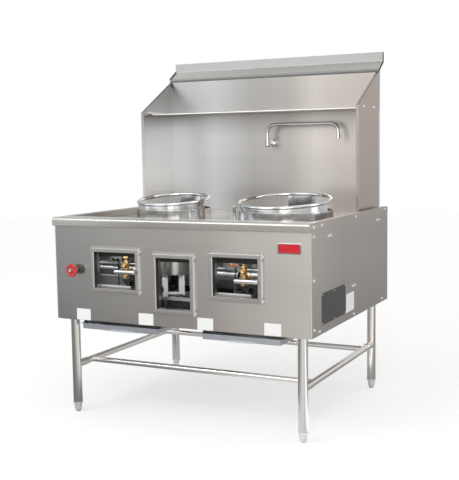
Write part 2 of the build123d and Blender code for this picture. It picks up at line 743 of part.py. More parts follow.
def pilot_supply():
    """Thin pipe over the manifold at each station, its clips and valve block, and a tube to the burner."""
    end = half_width - pilot_pipe_inset
    y = manifold_y - pilot_pipe_setback
    z = manifold_z + pipe_radius + pilot_pipe_gap
    inner = (station_left_x + pilot_pipe_ends[0], station_right_x + pilot_pipe_ends[1])
    for x0, x1 in ((-end, inner[0]), (inner[1], end)):
        keep("gas_pipes", rod((x0, y, z), (x1, y, z), pilot_pipe_radius))
    half, clip_top = pilot_clip / 2, z + pilot_pipe_radius + sheet
    for side, (centre_x, ring_radius, valve_x) in stations.items():
        bracket_x = valve_x - pilot_bracket_offset
        for x in (bracket_x, valve_x + pilot_clip_offset):
            clip = block(x - half, x + half, y - 2 * half, y + 2 * half, manifold_z + half, clip_top)
            clip -= rod((x - 2 * half, manifold_y, manifold_z), (x + 2 * half, manifold_y, manifold_z),
                        pipe_radius + pipe_clearance)
            keep("pipe_brackets", clip - rod((x - 2 * half, y, z), (x + 2 * half, y, z),
                                             pilot_pipe_radius + pipe_clearance))
        arm = block(bracket_x - 2 * half, bracket_x + 2 * half, valve_y, y + 2 * half,
                    clip_top, clip_top + bracket_steel)
        face = block(bracket_x - pilot_face_width / 2, bracket_x + pilot_face_width / 2,
                     valve_y, valve_y + bracket_steel, clip_top, clip_top + pilot_face_height)
        face = fillet(face.edges().filter_by(Axis.Y).group_by(Axis.Z)[-1], pilot_face_width / 4)
        keep("pipe_brackets", arm + face)
        fitting_z = clip_top + pilot_face_height / 2
        for x in (bracket_x - pilot_face_width / 4, valve_x - pilot_offset):
            keep("pilot_knobs", rod((x, valve_y, fitting_z), (x, valve_y - pilot_fitting_length, fitting_z),
                                    pilot_fitting_radius))
        x, top = valve_x - pilot_block_offset, z + pilot_pipe_radius
        cube = block(x - pilot_block_width / 2, x + pilot_block_width / 2, y - 3 * half, y + 2 * half,
                     top + pipe_clearance, top + pilot_block_height)
        keep("pilot_valves", chamfer(cube.edges().filter_by(Axis.Y), bracket_steel))
        stem_z, stem_x = top + pilot_block_height * 0.6, x + pilot_block_width / 2
        keep("pilot_knobs", rod((stem_x, y, stem_z), (stem_x + pilot_fitting_length, y, stem_z), half))
        turn, circle = radians(360 * 7 / air_hole_count), air_hole_circle(ring_radius)
        hole = (centre_x + circle * cos(turn), station_y + circle * sin(turn))
        x, tube_y = valve_x - pilot_offset, valve_y - pilot_fitting_length / 2
        low = mixer_front_z - pilot_tube_drop
        tube = bent_rod([(x, tube_y, fitting_z), (x, tube_y, low), (*hole, low),
                         (*hole, chamber_floor_z + plenum_height)], pilot_tube_radius, pilot_tube_bend)
        tube -= rod((x, valve_y + 1, fitting_z), (x, valve_y - 2 * pilot_fitting_length, fitting_z),
                    pilot_fitting_radius)
        keep("pilot_tubes", tube)


# ---------------------------------------------------------------- frame
def base_frame():
    """Angle iron round the foot of the cabinet, with four braces front to back."""
    x = inner_x - fit
    end = half_width - corner_radius - fit
    front = angle_bar(-end, end, (front_y + sheet, base_z), (1, 1), "x")
    rear = angle_bar(-x, x, (back_y - sheet, base_z), (-1, 1), "x")
    y0, y1 = front_y + sheet + angle_leg, back_y - sheet - angle_leg
    sides = [angle_bar(y0, y1, (side * x, base_z), (-side, 1), "y") for side in (-1, 1)]
    keep("base_frame", front, rear, *sides)
    keep("base_frame", *[
        angle_bar(y0, y1, (at, base_z), (1, 1), "y", brace_leg) for at in brace_x
    ])
    posts = []
    for sx in (-1, 1):
        post_x = sx * (x - angle_wall)
        for sy, y in ((1, front_y + post_inset), (-1, back_y - post_inset)):
            posts.append(angle_bar(base_z + angle_wall, deck_under, (post_x, y), (-sx, sy), "z"))
    keep("base_frame", *posts)


# ---------------------------------------------------------------- window trims
def window_trim(window):
    """Raised frame: outer flange, wall, face and a jamb that passes the panel."""
    middle, bottom, width, height = window
    x0, z0 = middle - width / 2, base_z + bottom
    flange = block(x0, x0 + width, front_y - sheet / 2, front_y, z0, z0 + height)
    a = trim_flange
    raised = block(x0 + a, x0 + width - a, front_y - trim_depth, front_y, z0 + a, z0 + height - a)
    raised = fillet(raised.faces().sort_by(Axis.Y)[0].edges(), 2.0)
    hollow = block(x0 + a + sheet, x0 + width - a - sheet, front_y - trim_depth + sheet, front_y + 1,
                   z0 + a + sheet, z0 + height - a - sheet)
    jamb = window_box(window, sheet, front_y - trim_depth + sheet, front_y + trim_jamb)
    clear = window_box(window, 0, front_y - trim_depth - 1, front_y + trim_jamb + 1)
    keep("window_trims", flange + raised - hollow + jamb - clear)


# ---------------------------------------------------------------- water
def rear_holes():
    """Pipes that pass the rear panel: x, z and radius of each."""
    return (
        (gas_pipe_x, manifold_z, pipe_radius),
        (side_pipe_x, water_valve_z - water_inlet_drop, water_pipe_radius),
        (side_pipe_x, water_valve_z, water_pipe_radius),
    )


def water_system():
    """Valve behind the panel, its bonnet in front, the supply pipe in and the pipe to the spout."""
    x, y, z = water_valve_x, front_y + water_valve_depth, water_valve_z
    r = water_pipe_radius
    low, back = z - 2 * r, y + 2.4 * r
    body = rod((x, y, low), (x, y, z + 1.5 * r), 1.5 * r) + rod((x, y, z), (x, back, z), 1.2 * r)
    body += rod((x, front_y, z), (x, y, z), valve_neck_radius)
    body -= rod((x, front_y - 1, z), (x, y - bracket_steel, z), stem_radius + running_fit)
    keep("water_valve_body", body)
    bonnet = rod((x, front_y, z), (x, front_y - bonnet_height, z), bonnet_radius)
    bonnet += rod((x, front_y - bonnet_height, z), (x, front_y - 1.8 * bonnet_height, z), bonnet_radius / 2)
    bonnet -= rod((x, front_y + 1, z), (x, front_y - 2 * bonnet_height, z), stem_radius + running_fit)
    keep("valve_bonnet", chamfer(bonnet.faces().filter_by(Plane.XZ).sort_by(Axis.Y)[0].edges()[0], 1.0))
    inlet_z, tail = z - water_inlet_drop, back_y + pipe_tail
    keep("water_pipes", bent_rod(
        [(x, y, low), (x, y, inlet_z), (side_pipe_x, y, inlet_z), (side_pipe_x, tail, inlet_z)],
        r, water_pipe_bend))
    splash_back = splash_face_y + splash_thickness
    riser_y, turn_y = splash_back + water_pipe_bend + r, back + water_pipe_bend + 1.8 * r
    keep("water_pipes", bent_rod(
        [(x, back, z), (x, turn_y, z), (side_pipe_x, turn_y, z), (side_pipe_x, riser_y, z),
         (side_pipe_x, riser_y, spout_body_z), (spout_x, riser_y, spout_body_z),
         (spout_x, splash_back + pipe_clearance, spout_body_z)],
        r, water_pipe_bend))


def handwheel():
    """Scalloped cast wheel with a pierced web, and the stem that it turns."""
    x, y, z = water_valve_x, front_y - wheel_stand_off, water_valve_z
    lobe = wheel_radius * 0.226
    rim = Circle(wheel_radius - lobe / 2)
    for turn in range(wheel_lobes):
        a = radians(90 + 360 * turn / wheel_lobes)
        rim += Pos((wheel_radius - lobe) * cos(a), (wheel_radius - lobe) * sin(a)) * Circle(lobe)
    for turn in range(wheel_lobes):
        a = 90 + 360 * (turn + 0.5) / wheel_lobes
        window = Rot(0, 0, a + 180) * RegularPolygon(wheel_radius / 6, 3)
        rim -= Pos(wheel_radius / 2 * cos(radians(a)), wheel_radius / 2 * sin(radians(a))) * window
    half = wheel_thickness / 2
    wheel = extrude(Plane(origin=(x, y + half, z), z_dir=(0, -1, 0)) * rim, amount=wheel_thickness)
    hub_back, hub_front = y + 2.4 * half, y - 1.4 * half
    keep("handwheel", wheel + rod((x, hub_back, z), (x, hub_front, z), wheel_radius * 0.3))
    nut = extrude(Plane(origin=(x, hub_front, z), z_dir=(0, -1, 0)) * RegularPolygon(1.3 * stem_radius, 6),
                  amount=half)
    keep("valve_stem", nut)
    stem_end = front_y + water_valve_depth - bracket_steel - fit
    keep("valve_stem", rod((x, hub_back, z), (x, stem_end, z), stem_radius))


def spout():
    """Faucet body through the backsplash and the swinging gooseneck."""
    face, y, z = splash_face_y, splash_face_y - spout_stand_off, spout_body_z
    x, r = spout_x, faucet_shank_radius
    plate = rod((x, face, z), (x, face - spout_tip_radius / 2, z), escutcheon_radius)
    plate = chamfer(plate.edges().filter_by(GeomType.CIRCLE).sort_by(Axis.Y)[0], bracket_steel)
    plate -= rod((x, face + 1, z), (x, face - spout_tip_radius, z), r + rail_fit)
    keep("faucet_body", plate)
    shank = rod((x, face + splash_thickness, z), (x, y, z), r)
    nut = extrude(Plane(origin=(x, face - escutcheon_radius, z), z_dir=(0, 1, 0)) * RegularPolygon(1.35 * r, 6),
                  amount=0.7 * escutcheon_radius)
    top = z + 1.3 * faucet_radius
    head = rod((x, y, z - 1.45 * faucet_radius), (x, y, top), faucet_radius)
    head = fillet(head.edges().filter_by(GeomType.CIRCLE).sort_by(Axis.Z)[0], faucet_radius * 0.4)
    seat = z - faucet_radius / 2
    bore = rod((x, y, seat), (x, y, top + 1), spout_radius + running_fit)
    keep("faucet_body", shank + nut + head - bore)
    tip_x = x + spout_reach
    gooseneck = bent_rod(
        [(x, y, seat + 1), (x, y, spout_arm_z), (tip_x, y, spout_arm_z),
         (tip_x, y, spout_tip_z + spout_tip_height)], spout_radius, spout_bend)
    ring = rod((x, y, top + pipe_clearance), (x, y, top + faucet_radius * 0.8), faucet_radius - 1)
    tip = Pos(tip_x, y, spout_tip_z) * Cone(spout_tip_radius, spout_radius, spout_tip_height,
                                            align=(Align.CENTER, Align.CENTER, Align.MIN))
    mouth = rod((tip_x, y, spout_tip_z - 1), (tip_x, y, spout_tip_z + 0.6 * spout_tip_height),
                spout_radius - sheet + fit)
    keep("spout", gooseneck + ring + tip - mouth)


def drain():
    """Overflow pipe standing in a flanged drain under the deck."""
    at, socket = (drain_x, drain_y), standpipe_radius - 1
    plug_end, low = deck_under - standpipe_height / 2, base_z + drain_end_rise
    body = rod((*at, deck_under - bracket_steel), (*at, deck_under), drain_flange_radius)
    body += rod((*at, low), (*at, deck_under), drain_radius)
    body -= rod((*at, plug_end - 10), (*at, deck_under + 1), socket)
    body -= rod((*at, low - 1), (*at, plug_end - 1), socket - 1)
    keep("deck_drain", body)
    top = deck_z + standpipe_height
    stand = rod((*at, plug_end), (*at, deck_z), socket - running_fit)
    stand += rod((*at, deck_z), (*at, top), standpipe_radius)
    stand = fillet(stand.edges().filter_by(GeomType.CIRCLE).sort_by(Axis.Z)[-1], standpipe_radius * 0.55)
    for ring_z_low in (deck_z, deck_z + standpipe_height * 0.47):
        stand += rod((*at, ring_z_low), (*at, ring_z_low + 2 * sheet), standpipe_radius + 1.5)
    keep("overflow_pipe", stand)


# ---------------------------------------------------------------- backsplash
def splash_skins():
    """Folded front pan, its back skin and the bent double-skinned crown above."""
    x0, x1 = splash_left_x, splash_right_x
    y0, y1 = splash_face_y, splash_face_y + splash_thickness
    front = block(x0, x1, y0, y1 - sheet, deck_z, splash_top_z)
    front -= block(x0 + sheet, x1 - sheet, y0 + sheet, y1, deck_z - 1, splash_top_z - sheet)
    hole = rod((spout_x, y0 - 1, spout_body_z), (spout_x, y1 + 1, spout_body_z), 11.2)
    floor_cut = block(x0 - 1, x1 + 1, back_y - sheet - fit, y1 + 1, deck_z - 1, rail_top + fit)
    rail_cut = block(x0 - 1, fit - half_width + side_rail_width, y0 - 1, y1 + 1, deck_z - 1, rail_top)
    keep("backsplash", front - hole - floor_cut - rail_cut)
    back = block(x0, x1, y1 - sheet, y1, rail_top + fit, splash_top_z)
    keep("backsplash", back - hole)
    lean = crown_run / crown_rise
    z0 = splash_top_z
    shift = splash_thickness
    outer = [
        (y0, z0), (y0, z0 + crown_step), (y0 + crown_run, z0 + crown_step + crown_rise),
        (y0 + crown_run, z0 + crown_step + crown_rise + crown_flange),
        (y0 + crown_run + shift, z0 + crown_step + crown_rise + crown_flange),
        (y0 + crown_run + shift, z0 + crown_step + crown_rise - shift / lean / 2),
        (y0 + shift, z0 + crown_step - shift / lean / 2), (y0 + shift, z0),
    ]
    t = sheet
    inner = [
        (y0 + t, z0 - 1), (y0 + t, z0 + crown_step - t / 2),
        (y0 + crown_run + t, z0 + crown_step + crown_rise - t / 2),
        (y0 + crown_run + t, z0 + crown_step + crown_rise + crown_flange - t),
        (y0 + crown_run + shift - t, z0 + crown_step + crown_rise + crown_flange - t),
        (y0 + crown_run + shift - t, z0 + crown_step + crown_rise - shift / lean / 2 + t / 2),
        (y0 + shift - t, z0 + crown_step - shift / lean / 2 + t / 2), (y0 + shift - t, z0 - 1),
    ]
    crown = side_profile(outer, x0, x1) - side_profile(inner, x0 - 1, x1 + 1)
    keep("crown", crown)


def side_splash(name, x_outer, side, foot):
    """Sheet with a sloping top and a narrow flange folded in along its front."""
    rear, top = splash_face_y - fit, splash_top_z
    front = side_splash_front_y
    slope = (rear - front) / (top - side_splash_shoulder_z)
    outline = [(front, foot), (front, side_splash_shoulder_z), (rear, top), (rear, foot)]
    x0, x1 = sorted((x_outer, x_outer - side * sheet))
    plate = side_profile(outline, x0, x1)
    lip = sorted((x_outer, x_outer - side * splash_flange))
    plate += block(*lip, front, front + sheet, foot, side_splash_shoulder_z)
    cap = [(front, side_splash_shoulder_z), (rear, top), (rear, top - 2.4),
           (front + slope * 2.4, side_splash_shoulder_z)]
    plate += side_profile(cap, *lip)
    keep(name, plate)


def shelf():
    """Plate with a rolled front bar and up-turned ends bolted to the side splashes."""
    x0, x1 = splash_left_x + sheet + fit, splash_right_x - sheet - fit
    plate = block(x0, x1, shelf_front_y, splash_face_y - fit, shelf_z - sheet, shelf_z)
    for x in (x0, x1 - sheet):
        plate += block(x, x + sheet, shelf_front_y, splash_face_y - fit, shelf_z - sheet, shelf_z + shelf_lip)
    bar_z = shelf_z + 1
    roll = pipe((x0, shelf_front_y, bar_z), (x1, shelf_front_y, bar_z), shelf_roll_radius,
                shelf_roll_radius - sheet)
    keep("shelf", plate - rod((x0 - 1, shelf_front_y, bar_z), (x1 + 1, shelf_front_y, bar_z),
                              shelf_roll_radius - sheet) + roll)


# ---------------------------------------------------------------- legs
def legs():
    plate, half = leg_plate, leg_plate_size / 2
    tubes, plates, inserts = [], [], []
    for x, y in leg_places:
        tubes.append(pipe((x, y, foot_height + insert_flange), (x, y, base_z - plate), leg_radius,
                          leg_radius - leg_wall))
        plates.append(block(x - half, x + half, y - half, y + half, base_z - plate, base_z))
        insert = rod((x, y, foot_height), (x, y, foot_height + insert_flange), leg_radius + 1.2)
        insert += rod((x, y, foot_height + insert_flange),
                      (x, y, foot_height + insert_flange + insert_depth), leg_radius - leg_wall - running_fit)
        inserts.append(insert - rod((x, y, foot_height - 1), (x, y, foot_height + 60),
                                    foot_stem_radius + running_fit))
    keep("legs", *tubes)
    keep("legs", *plates)
    keep("leg_inserts", *inserts)


def feet():
    stem_top = foot_height + foot_stem_length - leg_plate
    for name, (x, y) in zip(leg_names, leg_places):
        outline = Polyline((0, 0), (foot_radius * 0.62, 0), (foot_radius, foot_height * 0.45),
                           (foot_radius, foot_height), (foot_stem_radius, foot_height),
                           (foot_stem_radius, stem_top), (0, stem_top), close=True)
        face = make_face(outline)
        shoulder = [v for v in face.vertices()
                    if abs(v.X - foot_radius) < 0.1 and abs(v.Y - foot_height * 0.45) < 0.1]
        face = fillet(shoulder, foot_radius * 0.85)
        keep("foot_" + name, Pos(x, y, 0) * revolve(Plane.XZ * face, Axis.Z))


def lower_rails():
    """Two rails front to back with sleeves at the legs, and two rails across."""
    rails, sleeves, crossers = [], [], []
    grip = leg_radius + rail_fit
    y_front, y_rear = leg_places[0][1], leg_places[1][1]
    for side in (-1, 1):
        x = side * (half_width - leg_inset_x)
        rail = rod((x, y_front, side_rail_z), (x, y_rear, side_rail_z), lower_rail_radius)
        for y in (y_front, y_rear):
            rail -= rod((x, y, side_rail_z - 60), (x, y, side_rail_z + 60), grip)
        rails.append(rail)
        for y, way in ((y_front, 1), (y_rear, -1)):
            sleeve = pipe((x, y, side_rail_z), (x, y + way * (leg_radius + sleeve_length), side_rail_z),
                          lower_rail_radius + rail_fit + sleeve_wall, lower_rail_radius + rail_fit)
            sleeves.append(sleeve - rod((x, y, side_rail_z - 60), (x, y, side_rail_z + 60), grip))
    keep("lower_rails", *rails)
    keep("rail_sleeves", *sleeves)
    x = half_width - leg_inset_x
    for y in (front_y + cross_rail_front_inset, back_y - cross_rail_rear_inset):
        cross = rod((-x, y, side_rail_z), (x, y, side_rail_z), cross_rail_radius)
        for side in (-1, 1):
            cross -= rod((side * x, y - 40, side_rail_z), (side * x, y + 40, side_rail_z),
                         lower_rail_radius + rail_fit)
        crossers.append(cross)
    keep("lower_rails", *crossers)


# ---------------------------------------------------------------- drip trays
def tray_edges(tray, side):
    """Left and right edge of a tray that is set in from its own side of the cabinet."""
    inset, width = tray
    ends = (side * (half_width - inset), side * (half_width - inset - width))
    return min(ends), max(ends)


def drip_tray(name, tray, side):
    """Open pan with lips that lie on the runners."""
    x0, x1 = tray_edges(tray, side)
    lip_z = base_z - runner_drop + tray_wall + pipe_clearance
    y0, y1 = front_y + tray_front_inset, back_y - tray_rear_inset
    t = tray_wall
    pan = block(x0, x1, y0, y1, lip_z - tray_height, lip_z + t)
    pan -= block(x0 + t, x1 - t, y0 + t, y1 - t, lip_z - tray_height + t, lip_z + t + 1)
    for edge, side in ((x0, -1), (x1, 1)):
        pan += block(*sorted((edge - side * t, edge + side * tray_lip)), y0, y1, lip_z, lip_z + t)
    third = (x1 - x0) / 3
    pull = block(x0 + third, x1 - third, y0 - tray_pull, y0, lip_z - tray_height, lip_z - tray_height + t)
    keep(name, pan, pull)


def tray_runners():
    """Folded channels under the base frame that carry the lips of the trays."""
    runners = []
    low = base_z - runner_drop
    y0, y1 = front_y + tray_front_inset + brace_leg, back_y - tray_rear_inset
    for tray, hand in ((tray_left, -1), (tray_right, 1)):
        x0, x1 = tray_edges(tray, hand)
        for edge, side in ((x0, -1), (x1, 1)):
            web = edge + side * (tray_lip + sheet)
            runner = block(*sorted((web, web + side * tray_wall)), y0, y1, low, base_z)
            runner += block(*sorted((web + side * tray_wall, edge + side * sheet)), y0, y1, low, low + tray_wall)
            runner += block(*sorted((web, web + side * runner_flange)), y0, y1, base_z - tray_wall, base_z)
            runners.append(runner)
    keep("tray_runners", *runners)


# ---------------------------------------------------------------- small parts
def plates_and_fasteners():
    x0, z0 = half_width - badge_right_inset, rail_z - badge_drop
    width, height = badge_size
    rim = badge_rim
    bezel = block(x0, x0 + width, front_y - rim, front_y, z0, z0 + height)
    bezel = fillet(bezel.edges().filter_by(Axis.Y), rim * 0.75)
    well = block(x0 + rim, x0 + width - rim, front_y - rim - 1, front_y - rim * 0.375, z0 + rim, z0 + height - rim)
    keep("nameplate_bezel", bezel - well)
    edge = rim + rail_fit
    keep("nameplate_inlay", block(x0 + edge, x0 + width - edge, front_y - rim * 0.75, front_y - rim * 0.375,
                                  z0 + edge, z0 + height - edge))
    tag_w, tag_h = tag_size
    edges = [at - half_width for at in tags_from_left] + [half_width - at for at in tags_from_right]
    for at in edges:
        keep("blank_labels", block(at, at + tag_w, front_y - plate_wall, front_y, base_z + 1, base_z + 1 + tag_h))
    py, pz = front_y + data_plate_corner[0], base_z + data_plate_corner[1]
    length, tall = data_plate_size
    keep("data_plate", block(half_width, half_width + plate_wall, py, py + length, pz, pz + tall))
    keep("fasteners", *[
        round_head((half_width + plate_wall, py + length * along, pz + rivet_inset + (tall - 2 * rivet_inset) * up),
                   (1, 0, 0), rivet_radius, plate_wall)
        for along in (0.02, 0.5, 0.98) for up in (0, 1)
    ])
    label_w, label_h = label_size
    label_y = py + length + label_gap
    keep("blank_labels", block(half_width, half_width + plate_wall, label_y, label_y + label_w, pz, pz + label_h))
    marks = [(front_y + y, rail_top - z) for y, z in bolts_front_top]
    marks += [(back_y - y, rail_top - z) for y, z in bolts_rear_top]
    marks += [(front_y + y, base_z + z) for y, z in bolts_front_low]
    marks += [(back_y - y, base_z + z) for y, z in bolts_rear_low]
    for side in (-1, 1):
        keep("fasteners", *[bolt_head((side * half_width, y, z), (side, 0, 0)) for y, z in marks])
    bolts = []
    for x, side in ((splash_left_x, -1), (splash_right_x, 1)):
        for y in (shelf_front_y + 2 * bolt_radius, splash_face_y - shelf_depth / 3):
            bolts.append(bolt_head((x, y, shelf_z + shelf_lip / 2), (side, 0, 0)))
    keep("fasteners", *bolts)
    screws = []
    for middle, bottom, width, height in windows:
        reach = (width - trim_flange) / 2
        for x in (middle - reach, middle + reach):
            for z in (bottom + trim_face, bottom + height - trim_face):
                screws.append(round_head((x, front_y - sheet / 2, base_z + z), (0, -1, 0), screw_radius, sheet))
    keep("fasteners", *screws)


# ---------------------------------------------------------------- build and write
def main():
    front_panel()
    side_panel("side_panel_left", -1)
    side_panel("side_panel_right", 1)
    rear_panel()
    front_rail()
    deck_rails()
    deck_plate()
    for side in stations:
        collar(side)
        wok_ring(side)
        chamber(side)
        burner(side)
        burner_bracket(side)
        valve(side)
        mixing_tube(side)
        knee_lever(side)
    gas_manifold()
    pilot_supply()
    base_frame()
    for window in windows:
        window_trim(window)
    water_system()
    handwheel()
    spout()
    drain()
    splash_skins()
    side_splash("side_splash_left", splash_left_x, -1, rail_top)
    side_splash("side_splash_right", splash_right_x, 1, deck_z)
    shelf()
    legs()
    feet()
    lower_rails()
    drip_tray("drip_tray_left", tray_left, -1)
    drip_tray("drip_tray_right", tray_right, 1)
    tray_runners()
    plates_and_fasteners()
    os.makedirs("parts", exist_ok=True)
    for name, solids in parts.items():
        shape = solids[0] if len(solids) == 1 else Compound(children=solids)
        export_step(shape, "parts/" + name + ".step")
    print(len(parts), "sub-parts written")


if __name__ == "__main__":
    main()
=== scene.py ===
"""Looks of a two-station wok range: finishes, fine pieces, floor, lamps and camera over its CAD frame."""
from math import cos, pi, radians, sin

import bmesh
import bpy
import numpy as np
from mathutils import Matrix, Vector


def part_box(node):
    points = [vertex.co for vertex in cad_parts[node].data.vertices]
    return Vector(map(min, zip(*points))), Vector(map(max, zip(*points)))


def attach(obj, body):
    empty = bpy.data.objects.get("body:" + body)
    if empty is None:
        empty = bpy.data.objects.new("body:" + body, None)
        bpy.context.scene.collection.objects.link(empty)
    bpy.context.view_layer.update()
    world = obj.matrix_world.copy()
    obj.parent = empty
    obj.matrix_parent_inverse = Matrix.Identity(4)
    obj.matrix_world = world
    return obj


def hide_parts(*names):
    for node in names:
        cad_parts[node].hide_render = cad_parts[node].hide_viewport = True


bl_info = {
    "name": "Wok range",
    "version": (1, 0, 0),
    "blender": (4, 5, 0),
    "location": "3D View > Sidebar > Wok range",
    "description": "Finishes and fine pieces of a commercial two-station wok range",
    "category": "Object",
}

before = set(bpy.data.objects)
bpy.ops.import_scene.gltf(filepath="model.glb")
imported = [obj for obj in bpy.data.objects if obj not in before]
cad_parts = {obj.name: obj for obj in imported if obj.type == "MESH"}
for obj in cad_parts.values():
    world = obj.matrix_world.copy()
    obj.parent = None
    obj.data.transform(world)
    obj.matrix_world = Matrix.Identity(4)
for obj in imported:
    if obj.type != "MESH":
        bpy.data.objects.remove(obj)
MM = 0.001
FLOOR_BODY = "range_body"

# Heights and faces that several pieces share, read from the frame
PANEL_LOW, PANEL_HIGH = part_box("front_panel")
SPLASH_LOW, SPLASH_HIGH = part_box("backsplash")
CROWN_LOW, CROWN_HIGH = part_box("crown")
RAIL_LOW, RAIL_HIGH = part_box("front_rail")
FRONT_Y, FOOT_Z = PANEL_LOW[1], PANEL_LOW[2]


def middle(node):
    """Middle of a CAD node's box."""
    low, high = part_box(node)
    return [(a + b) / 2 for a, b in zip(low, high)]


STATION_X = {"left": middle("wok_ring_left")[0], "right": middle("wok_ring_right")[0]}
VALVE = {side: middle("lever_hub_" + side) for side in STATION_X}
RING_BAR, RING_TILT = 8 * MM, radians(5.5)

# Window frames: middle, foot above the panel's foot, width and height; and the frame's own section
WINDOWS = (
    (STATION_X["left"] - 4 * MM, 127 * MM, 258 * MM, 205 * MM),
    (-1 * MM, 52 * MM, 211 * MM, 266 * MM),
    (STATION_X["right"] - 4 * MM, 124 * MM, 250 * MM, 208 * MM),
)
TRIM_FLANGE, TRIM_FACE, TRIM_DEPTH, TRIM_JAMB = 8 * MM, 16 * MM, 16 * MM, 29 * MM


# ---------------------------------------------------------------- colour and nodes
def linear(hex_colour):
    """Linear colour, with alpha, of an sRGB hex value such as #A9A29D."""
    values = np.array([int(hex_colour[i:i + 2], 16) for i in (1, 3, 5)]) / 255
    low, high = values / 12.92, ((values + 0.055) / 1.055) ** 2.4
    return (*np.where(values <= 0.04045, low, high).tolist(), 1.0)


def feed(tree, node, inputs):
    """Gives a node its inputs: each is a value or another node's output."""
    for key, value in inputs.items():
        if isinstance(value, bpy.types.NodeSocket):
            tree.links.new(value, node.inputs[key])
        else:
            node.inputs[key].default_value = value


def add_node(tree, kind, inputs=None, stops=None, **settings):
    """Adds a node with its settings and inputs; stops are a ramp's places and colours."""
    node = tree.nodes.new("ShaderNode" + kind)
    for key, value in settings.items():
        setattr(node, key, value)
    feed(tree, node, inputs or {})
    for index, (place, colour) in enumerate(stops or ()):
        elements = node.color_ramp.elements
        element = elements[index] if index < len(elements) else elements.new(place)
        element.position, element.color = place, colour
    return node


def new_material(name):
    """An empty Principled material: its node tree, shader and Object coordinates."""
    material = bpy.data.materials.new(name)
    material.use_nodes = True
    tree = material.node_tree
    shader = tree.nodes["Principled BSDF"]
    place = add_node(tree, "TexCoord").outputs["Object"]
    return material, tree, shader, place


def grey(value):
    """Grey of one linear value, with alpha."""
    return (value, value, value, 1.0)


def tinted(colour, factor):
    """Colour made lighter or darker by a factor, or by one factor for each channel."""
    return (*np.minimum(np.array(colour[:3]) * factor, 1.0).tolist(), 1.0)


# ---------------------------------------------------------------- finishes
FOLD_RADIUS = 2.5 * MM     # outer radius of a fold in 2 mm sheet
GRAIN_SCALE = {"x": (3.0, 330.0, 330.0), "y": (330.0, 3.0, 330.0), "z": (330.0, 330.0, 3.0)}
BAND_SCALE = {"x": (0.5, 1.6, 2.2), "y": (1.6, 0.5, 2.2), "z": (2.4, 1.6, 0.4)}


def tone_along(tree, place, way, low, high, stops):
    """Colour that changes along X, Y or Z between two corners, through stops of a share and a colour."""
    axis = "XYZ".index(way)
    along = add_node(tree, "MapRange", {
        "Value": add_node(tree, "SeparateXYZ", {0: place}).outputs[way],
        "From Min": low[axis], "From Max": high[axis]})
    return add_node(tree, "ValToRGB", {"Fac": along.outputs[0]}, stops=tuple(
        (share, linear(colour)) for share, colour in stops)).outputs["Color"]


def brushed_stainless(name, colour, grain="x", roughness=0.33, contrast=0.05, drifts=()):
    """Stainless sheet, belt-brushed along one way: satin, with faint streaks along the grain.

    Real scratches are 0.1 mm apart; they are drawn 3 mm apart, the finest that shows.
    Broad soft bands come from sheet that isn't quite flat. Each painted light ramp is a way, the two corners
    that it runs between and the tones there: painted light and shade, lighter or darker across the sheet as
    light falls on it."""
    material, tree, shader, place = new_material(name)
    stretched = add_node(tree, "Mapping", {"Vector": place, "Scale": GRAIN_SCALE[grain]})
    streaks = add_node(tree, "TexNoise", {"Vector": stretched.outputs[0], "Scale": 1.0, "Detail": 3.0})
    wide = add_node(tree, "Mapping", {"Vector": place, "Scale": BAND_SCALE[grain]})
    bands = add_node(tree, "TexNoise", {"Vector": wide.outputs[0], "Scale": 1.7, "Detail": 1.0})
    both = add_node(tree, "Math", {0: streaks.outputs["Fac"], 1: bands.outputs["Fac"]}, operation="ADD")
    tone = add_node(tree, "ValToRGB", {"Fac": add_node(
        tree, "Math", {0: both.outputs[0], 1: 0.5}, operation="MULTIPLY").outputs[0]},
        stops=((0.32, tinted(colour, 1 - contrast)), (0.68, tinted(colour, 1 + contrast))))
    satin = add_node(tree, "MapRange", {
        "Value": streaks.outputs["Fac"], "To Min": roughness - 0.05, "To Max": roughness + 0.06})
    bend = add_node(tree, "Bevel", {"Radius": FOLD_RADIUS}, samples=4)
    bump = add_node(tree, "Bump", {"Height": streaks.outputs["Fac"], "Strength": 0.06, "Distance": 0.0004,
                                   "Normal": bend.outputs[0]})
    colour_out = tone.outputs["Color"]
    # Painted light and shade: each ramp multiplies the sheet's colour along one way
    for drift in drifts:
        colour_out = add_node(tree, "Mix", {"Factor": 1.0, 6: colour_out, 7: tone_along(tree, place, *drift)},
                              data_type="RGBA", blend_type="MULTIPLY").outputs[2]
    feed(tree, shader, {"Base Color": colour_out, "Roughness": satin.outputs[0],
                        "Normal": bump.outputs[0], "Metallic": 1.0})
    return material


def polished_metal(name, colour, roughness=0.14, metallic=1.0):
    """Ground and buffed bar, or bright plating: sharp reflections with a breath of haze.

    Haze patches are 25 mm wide. A blasted or lapped face scatters light, so it is drawn less metallic."""
    material, tree, shader, place = new_material(name)
    haze = add_node(tree, "TexNoise", {"Vector": place, "Scale": 40.0, "Detail": 2.0})
    gloss = add_node(tree, "MapRange", {
        "Value": haze.outputs["Fac"], "To Min": roughness * 0.7, "To Max": roughness * 1.4})
    tone = add_node(tree, "ValToRGB", {"Fac": haze.outputs["Fac"]},
                    stops=((0.35, tinted(colour, 0.96)), (0.65, tinted(colour, 1.03))))
    feed(tree, shader, {"Base Color": tone.outputs["Color"], "Roughness": gloss.outputs[0],
                        "Metallic": metallic})
    return material


def galvanised_steel(name, colour):
    """Hot-dip zinc on steel: dull grey with a spangle of crystals about 9 mm across."""
    material, tree, shader, place = new_material(name)
    spangle = add_node(tree, "TexVoronoi", {"Vector": place, "Scale": 110.0})
    facets = add_node(tree, "SeparateColor", {"Color": spangle.outputs["Color"]})
    tone = add_node(tree, "ValToRGB", {"Fac": facets.outputs[0]},
                    stops=((0.0, tinted(colour, 0.86)), (1.0, tinted(colour, 1.14))))
    dull = add_node(tree, "MapRange", {"Value": facets.outputs[1], "To Min": 0.38, "To Max": 0.55})
    feed(tree, shader, {"Base Color": tone.outputs["Color"], "Roughness": dull.outputs[0], "Metallic": 1.0})
    return material


